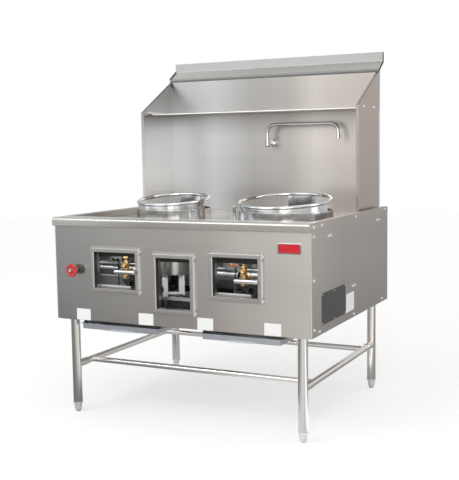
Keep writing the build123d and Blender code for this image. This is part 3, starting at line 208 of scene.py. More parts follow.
def brass(name, colour):
    """Machined yellow brass: warm, bright on its flats, browner where handling has dulled it.

    Dull patches are 12 mm wide. Turning marks are finer than 0.2 mm; they are drawn 2 mm apart, to show."""
    material, tree, shader, place = new_material(name)
    patches = add_node(tree, "TexNoise", {"Vector": place, "Scale": 85.0, "Detail": 3.0})
    tone = add_node(tree, "ValToRGB", {"Fac": patches.outputs["Fac"]},
                    stops=((0.3, tinted(colour, 0.82)), (0.7, tinted(colour, 1.08))))
    dull = add_node(tree, "MapRange", {"Value": patches.outputs["Fac"], "To Min": 0.34, "To Max": 0.2})
    marks = add_node(tree, "TexWave", {"Vector": place, "Scale": 160.0}, bands_direction="Z")
    bump = add_node(tree, "Bump", {"Height": marks.outputs["Fac"], "Strength": 0.08, "Distance": 0.0003})
    feed(tree, shader, {"Base Color": tone.outputs["Color"], "Roughness": dull.outputs[0],
                        "Normal": bump.outputs[0], "Metallic": 1.0})
    return material


def cast_iron(name, colour):
    """Sand-cast iron under heat-proof black: near black, matt, with a sand grain drawn 2 mm coarse."""
    material, tree, shader, place = new_material(name)
    sand = add_node(tree, "TexNoise", {"Vector": place, "Scale": 480.0, "Detail": 4.0})
    bump = add_node(tree, "Bump", {"Height": sand.outputs["Fac"], "Strength": 0.35, "Distance": 0.0006})
    tone = add_node(tree, "ValToRGB", {"Fac": sand.outputs["Fac"]},
                    stops=((0.3, tinted(colour, 0.7)), (0.75, tinted(colour, 1.5))))
    feed(tree, shader, {"Base Color": tone.outputs["Color"], "Normal": bump.outputs[0],
                        "Roughness": 0.52, "IOR": 1.5})
    return material


def gloss_enamel(name, colour):
    """Stoved gloss paint over a casting: deep colour under a clear shine, faint orange peel 5 mm wide."""
    material, tree, shader, place = new_material(name)
    peel = add_node(tree, "TexNoise", {"Vector": place, "Scale": 200.0, "Detail": 1.0})
    bump = add_node(tree, "Bump", {"Height": peel.outputs["Fac"], "Strength": 0.1, "Distance": 0.0005})
    tone = add_node(tree, "ValToRGB", {"Fac": peel.outputs["Fac"]},
                    stops=((0.3, tinted(colour, 0.88)), (0.7, tinted(colour, 1.08))))
    feed(tree, shader, {"Base Color": tone.outputs["Color"], "Normal": bump.outputs[0],
                        "Roughness": 0.35, "Coat Weight": 0.7, "Coat Roughness": 0.08})
    return material


def printed_film(name, colour, roughness=0.5):
    """Vinyl label film, or anodised plate: flat colour with a very fine tooth, drawn 2 mm coarse."""
    material, tree, shader, place = new_material(name)
    tooth = add_node(tree, "TexNoise", {"Vector": place, "Scale": 500.0, "Detail": 2.0})
    tone = add_node(tree, "ValToRGB", {"Fac": tooth.outputs["Fac"]},
                    stops=((0.3, tinted(colour, 0.97)), (0.7, tinted(colour, 1.02))))
    feed(tree, shader, {"Base Color": tone.outputs["Color"], "Roughness": roughness})
    return material


# ---------------------------------------------------------------- surfaces
def surface(points, wrap_rows=False):
    """Faces between neighbours of a grid of points (rows, columns, 3), whose columns close on themselves."""
    rows, columns = points.shape[:2]
    i, j = np.meshgrid(np.arange(rows if wrap_rows else rows - 1), np.arange(columns), indexing="ij")
    below, right = (i + 1) % rows, (j + 1) % columns
    corners = (i * columns + j, below * columns + j, below * columns + right, i * columns + right)
    return points.reshape(-1, 3), np.stack(corners, axis=-1).reshape(-1, 4)


def around(axis, place):
    """Matrix that stands local Z along an axis at a place."""
    turn = Vector(axis).to_track_quat("Z", "X").to_matrix().to_4x4()
    return np.array(Matrix.Translation(place) @ turn)


def put(points, matrix):
    """Points carried by a 4x4 matrix."""
    return points @ matrix[:3, :3].T + matrix[:3, 3]


def unit(rows):
    """Vectors in rows, each brought to length 1."""
    return rows / np.linalg.norm(rows, axis=1, keepdims=True)


def lathe(outline, axis, place, sides):
    """Surface of revolution: (r, h) of the outline swept by angle a to (r cos a, r sin a, h)."""
    r, h = np.asarray(outline, float).T[..., None]
    a = np.linspace(0, 2 * pi, sides, endpoint=False)
    points = np.stack([r * np.cos(a), r * np.sin(a), h + 0 * a], axis=-1)
    return surface(put(points, around(axis, place)))


def tube(path, radius, sides):
    """Circle carried along a bent path: each point gets radius times (side cos a + up sin a) round it.

    radius has one value for each point of the path. The ends are capped."""
    tangent = unit(np.gradient(path, axis=0))
    bend = np.cross(path[len(path) // 3] - path[0], path[-1] - path[0])
    side = unit(np.cross(tangent, bend))
    up = np.cross(side, tangent)
    path, side, up = (np.concatenate([rows[:1], rows, rows[-1:]]) for rows in (path, side, up))
    radius = np.concatenate([[0], radius, [0]])
    a = np.linspace(0, 2 * pi, sides, endpoint=False)
    ring = side[:, None] * np.cos(a)[None, :, None] + up[:, None] * np.sin(a)[None, :, None]
    return surface(path[:, None] + ring * radius[:, None, None])


def rounded_rectangle(width, height, radius, steps=5):
    """Outline of a rectangle whose corners are quarter circles: (u, v) from corner to corner."""
    a = np.linspace(0, pi / 2, steps)
    arcs = []
    for turn, (u, v) in enumerate(((1, 1), (-1, 1), (-1, -1), (1, -1))):
        arcs.append(np.stack([u * (width / 2 - radius) + radius * np.cos(a + turn * pi / 2),
                              v * (height / 2 - radius) + radius * np.sin(a + turn * pi / 2)], axis=-1))
    return np.concatenate(arcs)


def bar(path, width, height, up, radius=0.4 * MM):
    """Rounded flat bar along a path: each point gets u side + v up, (u, v) on a rounded rectangle."""
    path = np.asarray(path, float)
    tangent = unit(np.gradient(path, axis=0))
    side = unit(np.cross(tangent, up))
    over = np.cross(side, tangent)
    outline = rounded_rectangle(width, height, radius)
    rows = path[:, None] + side[:, None] * outline[None, :, :1] + over[:, None] * outline[None, :, 1:]
    rows = np.concatenate([np.repeat(path[:1, None], len(outline), 1), rows,
                           np.repeat(path[-1:, None], len(outline), 1)])
    return surface(rows)


def facing_sheet(x0, x1, y, foot, head, thickness):
    """Upright sheet that faces the front: a bar from x0 to x1, as wide as the sheet is high."""
    z = (foot + head) / 2
    return bar([(x0, y, z), (x1, y, z)], head - foot, thickness, (0, 1, 0))


def arc(centre, radius, first, last, axis, steps=24):
    """Points of an arc between two bearings in degrees, about an axis through its centre."""
    a = np.radians(np.linspace(first, last, steps))
    flat = np.stack([radius * np.cos(a), radius * np.sin(a), 0 * a], axis=-1)
    return put(flat, around(axis, centre))


def closed_mesh(name, vertices, faces, outwards=True):
    """Mesh whose seams and poles are closed and, unless it is flat, whose faces are turned outwards."""
    mesh = bpy.data.meshes.new(name)
    mesh.from_pydata(vertices.tolist(), [], faces.tolist())
    work = bmesh.new()
    work.from_mesh(mesh)
    bmesh.ops.remove_doubles(work, verts=work.verts, dist=1e-6)
    if outwards:
        bmesh.ops.recalc_face_normals(work, faces=work.faces)
    work.to_mesh(mesh)
    work.free()
    return mesh


def piece(name, surfaces, material, body=FLOOR_BODY, sharp=35.0, replaces=()):
    """Joins surfaces in one mesh, folds sharper than an angle kept crisp, and ties it to its body."""
    vertices, faces, count = [], [], 0
    for points, quads in surfaces:
        vertices.append(points)
        faces.append(quads + count)
        count += len(points)
    mesh = closed_mesh(name, np.concatenate(vertices), np.concatenate(faces))
    mesh.shade_smooth()
    mesh.set_sharp_from_angle(angle=radians(sharp))
    mesh.materials.append(material)
    made = bpy.data.objects.new(name, mesh)
    bpy.context.scene.collection.objects.link(made)
    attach(made, body)
    if replaces:
        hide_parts(*replaces)
    return made


def finish_nodes(material, *names):
    """Gives CAD nodes a finish by their material slots."""
    for name in names:
        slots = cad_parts[name].material_slots
        if not slots:
            raise RuntimeError("no material slot on " + name)
        for one in slots:
            one.material = material


# ---------------------------------------------------------------- settings
def colour_setting(name, description, hex_colour):
    """Setting that holds a colour, whose default is an sRGB hex value."""
    return bpy.props.FloatVectorProperty(name=name, description=description, subtype="COLOR", size=4,
                                         min=0, max=1, default=linear(hex_colour))


class WokRangeFinishes(bpy.types.PropertyGroup):
    """Colours of the finishes."""
    sheet: colour_setting("Stainless sheet", "Colour of the brushed stainless sheets", "#CBC7C3")
    bright: colour_setting("Bright bar", "Colour of polished bars and fasteners", "#D0D1D2")
    chrome: colour_setting("Chrome plate", "Colour of the spout and the lever grips", "#DEDEDE")
    zinc: colour_setting("Zinc", "Colour of galvanised steel", "#B4B8BA")
    brass: colour_setting("Brass", "Colour of the gas cocks and jets", "#EBC688")
    iron: colour_setting("Black iron", "Colour of burners and mixing tubes", "#1D1D1E")
    red: colour_setting("Red enamel", "Colour of the handwheel and the badge's inlay", "#D01826")
    orange: colour_setting("Orange fitting", "Colour of the pilot knobs", "#C17B58")
    label: colour_setting("Label film", "Colour of the blank labels", "#FAFAF9")
    plate: colour_setting("Data plate", "Colour of the blank data plate", "#3F4142")


class WokRangeStage(bpy.types.PropertyGroup):
    """Floor, light and camera."""
    floor: colour_setting("Floor", "Colour of the floor", "#CCCCCC")
    room: bpy.props.FloatProperty(
        name="Room light", description="Strength of the white room", default=1.0, min=0)
    key: bpy.props.FloatProperty(
        name="Key lamp", description="Power of the large lamp above the front",
        default=36.0, min=0, unit="POWER")
    inside: bpy.props.FloatProperty(
        name="Inside lamp", description="Power of the lamp that stands for light coming in under the deck",
        default=1.6, min=0, unit="POWER")
    lens: bpy.props.FloatProperty(
        name="Lens", description="Focal length of the camera", default=67.40, min=1, unit="CAMERA")


# ---------------------------------------------------------------- operators
# Each sheet's finish: its name, nodes, lightness, grain, roughness, contrast and painted light ramps.
# The lightness makes lit and shaded copies of the one sheet colour: painted light. The right splash's
# lightness in each channel, below, is painted warm light, as the left splash's ramp paints cool light
WARM = 0.86 * np.array(linear("#FFF4F0")[:3])
SHEETS = (
    ("shelf", ("shelf",), 1.2, "x", 0.28, 0.05, ()),
    ("rear panel", ("rear_panel",), 1.0, "x", 0.33, 0.05, ()),
    ("window frame", ("window_trims",), 0.98, "x", 0.3, 0.04, ()),
    # Front panel: painted light, darker and cooler at the left end, lighter and warmer to the right
    ("front panel", ("front_panel",), 1.37, "x", 0.33, 0.05, (
        ("X", PANEL_LOW, PANEL_HIGH, ((0.0, "#C2C5C8"), (0.3, "#D3D3D2"), (0.5, "#D6D3D0"),
                                      (0.62, "#DEDAD7"), (0.75, "#F2EFEC"), (1.0, "#FFFDFA"))),)),
    # Side panels and deck rails: painted light, lighter at the front, darker towards the rear
    ("side panel", ("side_panel_left", "side_panel_right", "deck_rails"), 1.13, "y", 0.33, 0.05, (
        ("Y", PANEL_LOW, SPLASH_HIGH, ((0.0, "#FFFDFA"), (0.35, "#EBE6E3"), (1.0, "#DEDAD6"))),)),
    # Backsplash: painted light, cool and light at the left, darker in the middle; painted shade under the
    # shelf at its top
    ("backsplash", ("backsplash",), 1.6, "z", 0.33, 0.05, (
        ("X", SPLASH_LOW, SPLASH_HIGH, ((0.0, "#EDF3FA"), (0.22, "#F2F7FC"), (0.42, "#D0D0D0"),
                                        (0.6, "#D6D4D2"), (0.72, "#F4F1EE"), (1.0, "#E9E5E2"))),
        ("Z", SPLASH_LOW, SPLASH_HIGH, ((0.4, "#F2F2F2"), (0.7, "#FFFFFF"), (0.77, "#D8D8D8"),
                                        (1.0, "#D2D2D2"))))),
    # Crown: painted light, lighter at its left; a painted shade line along its foot, painted highlight on the
    # slope, a darker flange above
    ("crown", ("crown",), 1.68, "x", 0.33, 0.05, (
        ("X", CROWN_LOW, CROWN_HIGH, ((0.0, "#FFFFFF"), (0.45, "#EEEEEE"), (1.0, "#EFEFEF"))),
        ("Z", CROWN_LOW, CROWN_HIGH, ((0.06, "#77777A"), (0.14, "#A6A7A9"), (0.2, "#FFFFFF"),
                                      (0.55, "#FFFFFF"), (0.6, "#BFC0C3"), (1.0, "#BABBBE"))))),
    # Left splash: painted cool light low down, painted shade towards its top
    ("left splash", ("side_splash_left",), 1.38, "z", 0.33, 0.05, (
        ("Z", SPLASH_LOW, SPLASH_HIGH, ((0.3, "#FBFDFF"), (0.55, "#DCE1E6"), (0.9, "#A6A6A6"))),)),
    ("right splash", ("side_splash_right",), WARM, "z", 0.33, 0.05, ()),
    # Front rail: painted highlight at its left end and along its top nose
    ("front rail", ("front_rail",), 1.68, "x", 0.26, 0.04, (
        ("X", RAIL_LOW, RAIL_HIGH, ((0.0, "#FFFFFF"), (0.12, "#FFFFFF"), (0.4, "#DCDBDA"),
                                    (1.0, "#F4F2EF"))),
        ("Z", RAIL_LOW, RAIL_HIGH, ((0.0, "#D0CECC"), (0.8, "#DBD9D7"), (0.92, "#FFFFFF"))))),
    # Deck: painted shade towards the front, lighter towards the rear
    ("deck", ("deck_plate",), 0.8, "x", 0.26, 0.05, (
        ("Y", PANEL_LOW, SPLASH_HIGH, ((0.0, "#B0B0B0"), (0.3, "#CCCCCC"), (0.6, "#FFFFFF"))),)),
    ("chamber", ("chamber_left", "chamber_right"), 1.5, "z", 0.2, 0.16, ()),
)


class WOKRANGE_OT_sheets(bpy.types.Operator):
    """Brushed stainless on the cabinet, the deck and the splash, each with its own grain."""
    bl_idname = "wok_range.sheets"
    bl_label = "Stainless sheets"

    def execute(self, context):
        sheet = context.scene.wok_range_finishes.sheet
        for name, nodes, lightness, *way_of_brushing in SHEETS:
            finish_nodes(brushed_stainless("brushed stainless " + name, tinted(sheet, lightness),
                                           *way_of_brushing), *nodes)
        finish_nodes(brushed_stainless("brushed stainless tray", linear("#D6DADF"), "y"),
                     "drip_tray_left", "drip_tray_right")
        return {"FINISHED"}


class WOKRANGE_OT_tubes(bpy.types.Operator):
    """Ground stainless tube on the legs, their rails and the feet."""
    bl_idname = "wok_range.tubes"
    bl_label = "Legs and rails"

    def execute(self, context):
        sheet = context.scene.wok_range_finishes.sheet
        bright = context.scene.wok_range_finishes.bright
        finish_nodes(brushed_stainless("ground stainless tube", tinted(sheet, 1.3), "z", 0.13, 0.08),
                     "legs", "rail_sleeves")
        finish_nodes(polished_metal("plated foot", tinted(bright, 1.4), 0.25, 0.5), "leg_inserts",
                     "foot_front_left", "foot_front_right", "foot_rear_left", "foot_rear_right")
        finish_nodes(brushed_stainless("ground stainless rail", tinted(sheet, 1.45), "y", 0.15),
                     "lower_rails")
        return {"FINISHED"}


class WOKRANGE_OT_rings(bpy.types.Operator):
    """Polished stainless on the wok rings, their collars and the fasteners."""
    bl_idname = "wok_range.rings"
    bl_label = "Wok rings"

    def execute(self, context):
        bright = context.scene.wok_range_finishes.bright
        finish_nodes(polished_metal("polished stainless", tinted(bright, 1.45), 0.13),
                     "collars", "wok_ring_left", "wok_ring_right", "valve_stem")
        # Painted highlight along the bezel's top edge, painted shade below it
        top_light = ("Z", *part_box("nameplate_bezel"), ((0.8, "#9B9692"), (0.9, "#FFFFFF")))
        finish_nodes(brushed_stainless("bright bezel", grey(0.95), "x", 0.28, 0.04, (top_light,)),
                     "nameplate_bezel")
        finish_nodes(polished_metal("bright fasteners", grey(0.95), 0.3, 0.4), "fasteners")
        return {"FINISHED"}


class WOKRANGE_OT_gas_train(bpy.types.Operator):
    """Iron, brass and zinc of the burners, cocks, pipes and brackets."""
    bl_idname = "wok_range.gas_train"
    bl_label = "Gas train"

    def execute(self, context):
        finishes = context.scene.wok_range_finishes
        finish_nodes(cast_iron("black cast iron", finishes.iron),
                     "burners", "mixing_tubes", "iron_elbows", "pilot_tubes")
        finish_nodes(brass("machined brass", finishes.brass),
                     "gas_valves", "lever_hub_left", "lever_hub_right", "burner_tips", "water_valve_body")
        finish_nodes(galvanised_steel("galvanised steel", finishes.zinc),
                     "base_frame", "tray_runners", "pipe_brackets", "burner_brackets", "gas_pipes",
                     "water_pipes", "deck_drain", "pilot_valves")
        finish_nodes(galvanised_steel("dull valve bonnet", linear("#77756F")), "valve_bonnet")
        return {"FINISHED"}


class WOKRANGE_OT_windows(bpy.types.Operator):
    """Bright returns and lips of the window frames, painted highlight on their edges; dark linings and the
    black sheets behind them, painted shade.
    """
    bl_idname = "wok_range.windows"
    bl_label = "Window frames"

    RETURN = (TRIM_DEPTH - 1 * MM, 1.4 * MM)       # width and thickness
    RETURN_PROUD, RETURN_SHORT = 0.8 * MM, 3 * MM
    SCREW_FOOT, SCREW_HEAD = 24 * MM, 30 * MM      # from the frame's foot, and from its head
    LIP, LIP_ROUND, LIP_ASIDE = (3.2 * MM, 2.4 * MM), 1.1 * MM, 1 * MM
    LINING, LINING_ASIDE, LINING_BACK = (20 * MM, 1 * MM), 0.6 * MM, 13 * MM
    SHIELD_BACK = TRIM_JAMB + 7 * MM               # behind the panel's face
    SHIELD_DROPS = (22 * MM, 22 * MM, 29 * MM)     # below the head of each opening
    SHIELD_RISE, SHIELD_LEFT, SHIELD_RIGHT, SHIELD_SHEET = 30 * MM, 40 * MM, 30 * MM, 2 * MM
    SILL, SILL_ROUND, SILL_RISE = (8 * MM, 6 * MM), 1 * MM, 3 * MM
    SILL_SHARES = (0.6, 0.0, 0.6)                  # of each frame's width
    PAN_FOOT, PAN_HEAD, PAN_BACK, PAN_LEFT = 2 * MM, 98 * MM, 74 * MM, 30 * MM

    def execute(self, context):
        finishes = context.scene.wok_range_finishes
        returns, lips, linings, shields, screws, sills = [], [], [], [], [], []
        rim = TRIM_FLANGE + TRIM_FACE
        front, y, shield_y = FRONT_Y - TRIM_DEPTH, FRONT_Y - TRIM_DEPTH / 2, FRONT_Y + self.SHIELD_BACK
        for window, drop, sill_share in zip(WINDOWS, self.SHIELD_DROPS, self.SILL_SHARES):
            centre_x, foot, width, height = window
            low, high = FOOT_Z + foot, FOOT_Z + foot + height
            face_x = centre_x + width / 2 - TRIM_FLANGE + self.RETURN_PROUD
            returns.append(bar([(face_x, y, low + self.RETURN_SHORT), (face_x, y, high - self.RETURN_SHORT)],
                               *self.RETURN, (1, 0, 0)))
            for z in (low + self.SCREW_FOOT, high - self.SCREW_HEAD):
                screws.append(self.screw((face_x + self.RETURN[1] / 2, y, z)))
            left, right = centre_x - width / 2 + rim, centre_x + width / 2 - rim
            low, high = low + rim, high - rim
            x = left - self.LIP_ASIDE
            lips.append(bar([(x, front, low), (x, front, high)], *self.LIP, (0, -1, 0), self.LIP_ROUND))
            # The slate grey linings on the left jambs are painted shade
            x, lining_y = left + self.LINING_ASIDE, front + self.LINING_BACK
            linings.append(bar([(x, lining_y, low), (x, lining_y, high)], *self.LINING, (1, 0, 0)))
            shields.append(facing_sheet(left - self.SHIELD_LEFT, right + self.SHIELD_RIGHT, shield_y,
                                        high - drop, high + self.SHIELD_RISE, self.SHIELD_SHEET))
            # The bright sills low in the side windows are painted highlight
            if sill_share:
                z = low + self.SILL_RISE
                sills.append(bar([(left, shield_y, z), (left + sill_share * width, shield_y, z)],
                                 *self.SILL, (0, 1, 0), self.SILL_ROUND))
        # The black pan behind the bar of the middle window keeps the drip trays out of sight: painted shade
        centre_x, _, width, _ = WINDOWS[1]
        shields.append(facing_sheet(centre_x - width / 2 - self.PAN_LEFT, centre_x + width / 2,
                                    FRONT_Y + self.PAN_BACK, FOOT_Z + self.PAN_FOOT,
                                    FOOT_Z + self.PAN_HEAD, self.SHIELD_SHEET))
        # Returns and lips in a near-white finish: painted highlight on the frames' edges
        bright = polished_metal("bright frame return", grey(0.93), 0.3, 0.3)
        piece("window_returns", returns, bright)
        piece("window_lips", lips, bright)
        piece("window_linings", linings, printed_film("slate grey lining", finishes.plate, 0.4))
        # Black sheets behind the window heads: painted shade; the screws are truly dark
        dark = cast_iron("black shield", finishes.iron)
        piece("window_shields", shields, dark)
        piece("window_screws", screws, dark)
        piece("window_sills", sills,
              printed_film("bright zinc sill", finishes.bright, 0.35))
        return {"FINISHED"}

    def screw(self, place):
        """Pan head facing right: r and h run up a quarter ellipse, with a sunk middle for the driver."""
        t = np.linspace(0, pi / 2, 7)
        head = np.stack([3.2 * MM * np.cos(t), 1.4 * MM * np.sin(t)], axis=-1)[:-1]
        outline = [(0, 0), *head.tolist(), (1.2 * MM, 1.3 * MM), (1.0 * MM, 0.6 * MM), (0, 0.5 * MM)]
        return lathe(outline, (1, 0, 0), place, 24)


class WOKRANGE_OT_pilots(bpy.types.Operator):
    """Compression fittings on the pilot tubes: knobs in hexagon nuts, and the adjusting stem beside them."""
    bl_idname = "wok_range.pilots"
    bl_label = "Pilot fittings"

    OFFSETS = (-58 * MM, -36 * MM)     # knobs beside the cock
    STEM_OFFSET = -89 * MM
    KNOB_BACK, KNOB_DROP = 12 * MM, 8 * MM         # from the fittings' front and head
    NUT_BACK = 12.2 * MM
    STEM_AHEAD, STEM_DROP = 5 * MM, 6.8 * MM       # from the fittings' rear, and below the knobs
    NUT = ((0, 0), (9.4 * MM, 0), (9.4 * MM, 3.4 * MM), (8.4 * MM, 4.4 * MM), (0, 4.4 * MM))
    STEM = ((0, 0), (5 * MM, 0), (5 * MM, 9 * MM), (3.5 * MM, 12 * MM), (0, 12 * MM))

    def execute(self, context):
        finishes = context.scene.wok_range_finishes
        low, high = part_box("pilot_knobs")
        knob_z = high[2] - self.KNOB_DROP
        orange = gloss_enamel("orange lacquer", finishes.orange)
        dark = cast_iron("blackened fitting", finishes.iron)
        nuts = []
        # The left knobs are the right ones drawn black: painted shade, as the left window is in shade
        for side, knob_finish in (("left", dark), ("right", orange)):
            x = VALVE[side][0]
            stem_place = (x + self.STEM_OFFSET, high[1] - self.STEM_AHEAD, knob_z - self.STEM_DROP)
            knobs = [self.knob((x + offset, low[1] + self.KNOB_BACK, knob_z)) for offset in self.OFFSETS]
            knobs.append(lathe(self.STEM, (1, 0, 0), stem_place, 24))
            piece("pilot_knobs_" + side, knobs, knob_finish,
                  replaces=("pilot_knobs",) if side == "right" else ())
            nuts += [lathe(self.NUT, (0, -1, 0), (x + offset, low[1] + self.NUT_BACK, knob_z), 6)
                     for offset in self.OFFSETS]
        piece("pilot_nuts", nuts, galvanised_steel("zinc nuts", finishes.zinc), sharp=20)
        return {"FINISHED"}

    def knob(self, place):
        """Round knob facing the cook: r falls from 8 to 6.4 mm by a round shoulder, with a dished middle."""
        t = np.linspace(0, pi / 2, 6)
        shoulder = np.stack([6.4 * MM + 1.6 * MM * np.cos(t), 10.4 * MM + 1.6 * MM * np.sin(t)], axis=-1)
        outline = [(0, 0), (8 * MM, 0), *shoulder.tolist(), (4.4 * MM, 11.6 * MM), (3.6 * MM, 10.2 * MM),
                   (0, 10 * MM)]
        return lathe(outline, (0, -1, 0), place, 28)


class WOKRANGE_OT_hangers(bpy.types.Operator):
    """Pale straps that hang from the left chamber's flank, and the rail that they carry."""
    bl_idname = "wok_range.hangers"
    bl_label = "Burner hangers"

    STRAPS = ((-254 * MM, -159 * MM, 494 * MM), (-183 * MM, -127 * MM, 507 * MM))   # x, y and foot of each
    HEAD_Z = 600 * MM
    STRAP, RAIL, ROUND = (27 * MM, 2.5 * MM), (3 * MM, 12 * MM), 0.8 * MM
    RAIL_RISE, RAIL_AHEAD = 21 * MM, 2.6 * MM      # from the first strap's foot and face
    FACING = (0.4, -1, 0)

    def execute(self, context):
        straps = [bar([(x, y, foot), (x, y, self.HEAD_Z)], *self.STRAP, self.FACING, self.ROUND)
                  for x, y, foot in self.STRAPS]
        level = self.STRAPS[0][2] + self.RAIL_RISE
        straps.append(bar([(x, y - self.RAIL_AHEAD, level) for x, y, _ in self.STRAPS], *self.RAIL, (0, 0, 1),
                          self.ROUND))
        # Near white rather than zinc, so the straps read lighter than the light there makes them: painted
        # light
        piece("burner_hangers", straps,
              printed_film("pale zinc strap", linear("#EEF1F3"), 0.35))
        return {"FINISHED"}


class WOKRANGE_OT_side_channel(bpy.types.Operator):
    """Folded channel behind the left window that braces the cabinet's side: a web between pale lips."""
    bl_idname = "wok_range.side_channel"
    bl_label = "Side channel"

    ENDS_FROM_LEFT = (107 * MM, 252 * MM)
    SETBACK = 180 * MM         # behind the front panel
    FOOT, HEAD = 128 * MM, 178 * MM
    WEB_SHEET, LIP, LIP_ROUND = 2 * MM, (5 * MM, 14 * MM), 0.8 * MM

    def execute(self, context):
        finishes = context.scene.wok_range_finishes
        x0, x1 = (PANEL_LOW[0] + end for end in self.ENDS_FROM_LEFT)
        y, low, high = FRONT_Y + self.SETBACK, FOOT_Z + self.FOOT, FOOT_Z + self.HEAD
        lip_y = y - self.LIP[1] / 2
        lips = [bar([(x0, lip_y, edge), (x1, lip_y, edge)], *self.LIP, (0, -1, 0), self.LIP_ROUND)
                for edge in (low, high)]
        piece("side_channel_web", [facing_sheet(x0, x1, y, low, high, self.WEB_SHEET)],
              printed_film("weathered zinc web", finishes.zinc, 0.45))
        # The lips' near white is painted highlight along the channel's edges
        piece("side_channel_lips", lips,
              printed_film("bright zinc lip", finishes.label, 0.35))
        return {"FINISHED"}


class WOKRANGE_OT_crown_ends(bpy.types.Operator):
    """Black plugs in the crown's open right end, and the black edge strip along its slope at the left end:
    painted shade where the hollow ends and edge fall dark.
    """
    bl_idname = "wok_range.crown_ends"
    bl_label = "Crown ends"

    THICKNESS = 20 * MM        # between the crown's two skins, outside
    STEP, SLOPE_RISE = 15 * MM, 43 * MM
    PLUG, PLUG_INSIDE = (THICKNESS - 4 * MM, 1 * MM), 0.7 * MM
    PLUG_FOOT, PLUG_HEAD = 1 * MM, 3 * MM          # clear of the crown's foot and head
    EDGE, EDGE_INSIDE, EDGE_PROUD = (8 * MM, 1.2 * MM), 0.6 * MM, 2 * MM

    def execute(self, context):
        front, rear = CROWN_LOW[1], CROWN_HIGH[1] - self.THICKNESS
        slope_foot = CROWN_LOW[2] + self.STEP
        slope_head = slope_foot + self.SLOPE_RISE
        x, middle_y = CROWN_HIGH[0] - self.PLUG_INSIDE, self.THICKNESS / 2
        ends = [bar([(x, y + middle_y, foot), (x, y + middle_y, head)], *self.PLUG, (1, 0, 0))
                for y, foot, head in ((front, CROWN_LOW[2] + self.PLUG_FOOT, slope_foot),
                                      (rear, slope_head, CROWN_HIGH[2] - self.PLUG_HEAD))]
        x, proud = CROWN_LOW[0] + self.EDGE_INSIDE, self.EDGE_PROUD
        ends.append(bar([(x, front - proud, slope_foot + proud), (x, rear - proud, slope_head + proud)],
                        *self.EDGE, (1, 0, 0)))
        piece("crown_ends", ends,
              cast_iron("black end plug", context.scene.wok_range_finishes.iron))
        return {"FINISHED"}


class WOKRANGE_OT_tray_stop(bpy.types.Operator):
    """Dark bar across the back that the drip trays are pushed against."""
    bl_idname = "wok_range.tray_stop"
    bl_label = "Tray stop"

    RISE = 14 * MM             # above the panel's foot
    LAP, BEHIND, THICKNESS = 2 * MM, 5 * MM, 3 * MM

    def execute(self, context):
        low, (_, tray_rear, _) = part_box("drip_tray_left")
        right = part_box("drip_tray_right")[1][0]
        stop = facing_sheet(low[0], right, tray_rear + self.BEHIND, low[2] + self.LAP, FOOT_Z + self.RISE,
                            self.THICKNESS)
        # A real stop, but its black keeps the slit low in the right window dark: painted shade
        piece("tray_stop", [stop],
              cast_iron("black tray stop", context.scene.wok_range_finishes.iron))
        return {"FINISHED"}


class WOKRANGE_OT_handwheel(bpy.types.Operator):
    """Cast handwheel in red enamel: a lobed rim on seven ribs round a domed hub. The badge's red inlay."""
    bl_idname = "wok_range.handwheel"
    bl_label = "Handwheel"

    LOBES = 7
    RIM_RADIUS = 22.4 * MM      # middle line of the rim
    LOBE_DEPTH = 2.4 * MM
    RIM_BAR = (6.2 * MM, 5.4 * MM)
    RIB = ((5 * MM, 1.5 * MM), (10 * MM, 1.0 * MM), (15 * MM, 0.2 * MM), (22 * MM, 0.0))   # radius, height
    RIB_BAR, RIB_ROUND = (7.0 * MM, 5.5 * MM), 2.2 * MM
    HUB = ((0, -8 * MM), (8 * MM, -8 * MM), (9.3 * MM, -5 * MM))
    DOME_RADIUS, DOME_FOOT, DOME_RISE = 9.3 * MM, 4.5 * MM, 2.5 * MM

    def execute(self, context):
        place = middle("handwheel")
        red = context.scene.wok_range_finishes.red
        matrix = around((0, -1, 0), place)
        ribs = []
        for lobe in range(self.LOBES):
            a = 2 * pi * lobe / self.LOBES
            path = put(np.array([(r * cos(a), r * sin(a), h) for r, h in self.RIB]), matrix)
            ribs.append(bar(path, *self.RIB_BAR, (0, -1, 0), self.RIB_ROUND))
        t = np.linspace(0, pi / 2, 8)
        dome = np.stack([self.DOME_RADIUS * np.cos(t), self.DOME_FOOT + self.DOME_RISE * np.sin(t)], axis=-1)
        hub = lathe([*self.HUB, *dome.tolist()], (0, -1, 0), place, 36)
        made = piece("handwheel_casting", [self.rim(matrix), hub, *ribs],
                     gloss_enamel("red enamel casting", red), "water_handwheel", 50, ("handwheel",))
        made.visible_glossy = False        # the brushed panel shows no red of it
        finish_nodes(printed_film("red lacquered inlay", red, 0.6), "nameplate_inlay")
        return {"FINISHED"}

    def rim(self, matrix):
        """Lobed torus: (R + p cos b) from the middle and q sin b high, where R = R0 + d cos(7 a)."""
        a = np.linspace(0, 2 * pi, self.LOBES * 24, endpoint=False)[:, None]
        b = np.linspace(0, 2 * pi, 24, endpoint=False)[None, :]
        wide, high = self.RIM_BAR
        r = self.RIM_RADIUS + self.LOBE_DEPTH * np.cos(self.LOBES * a) + wide * np.cos(b)
        points = np.stack([r * np.cos(a), r * np.sin(a), high * np.sin(b) + 0 * a], axis=-1)
        return surface(put(points, matrix), wrap_rows=True)


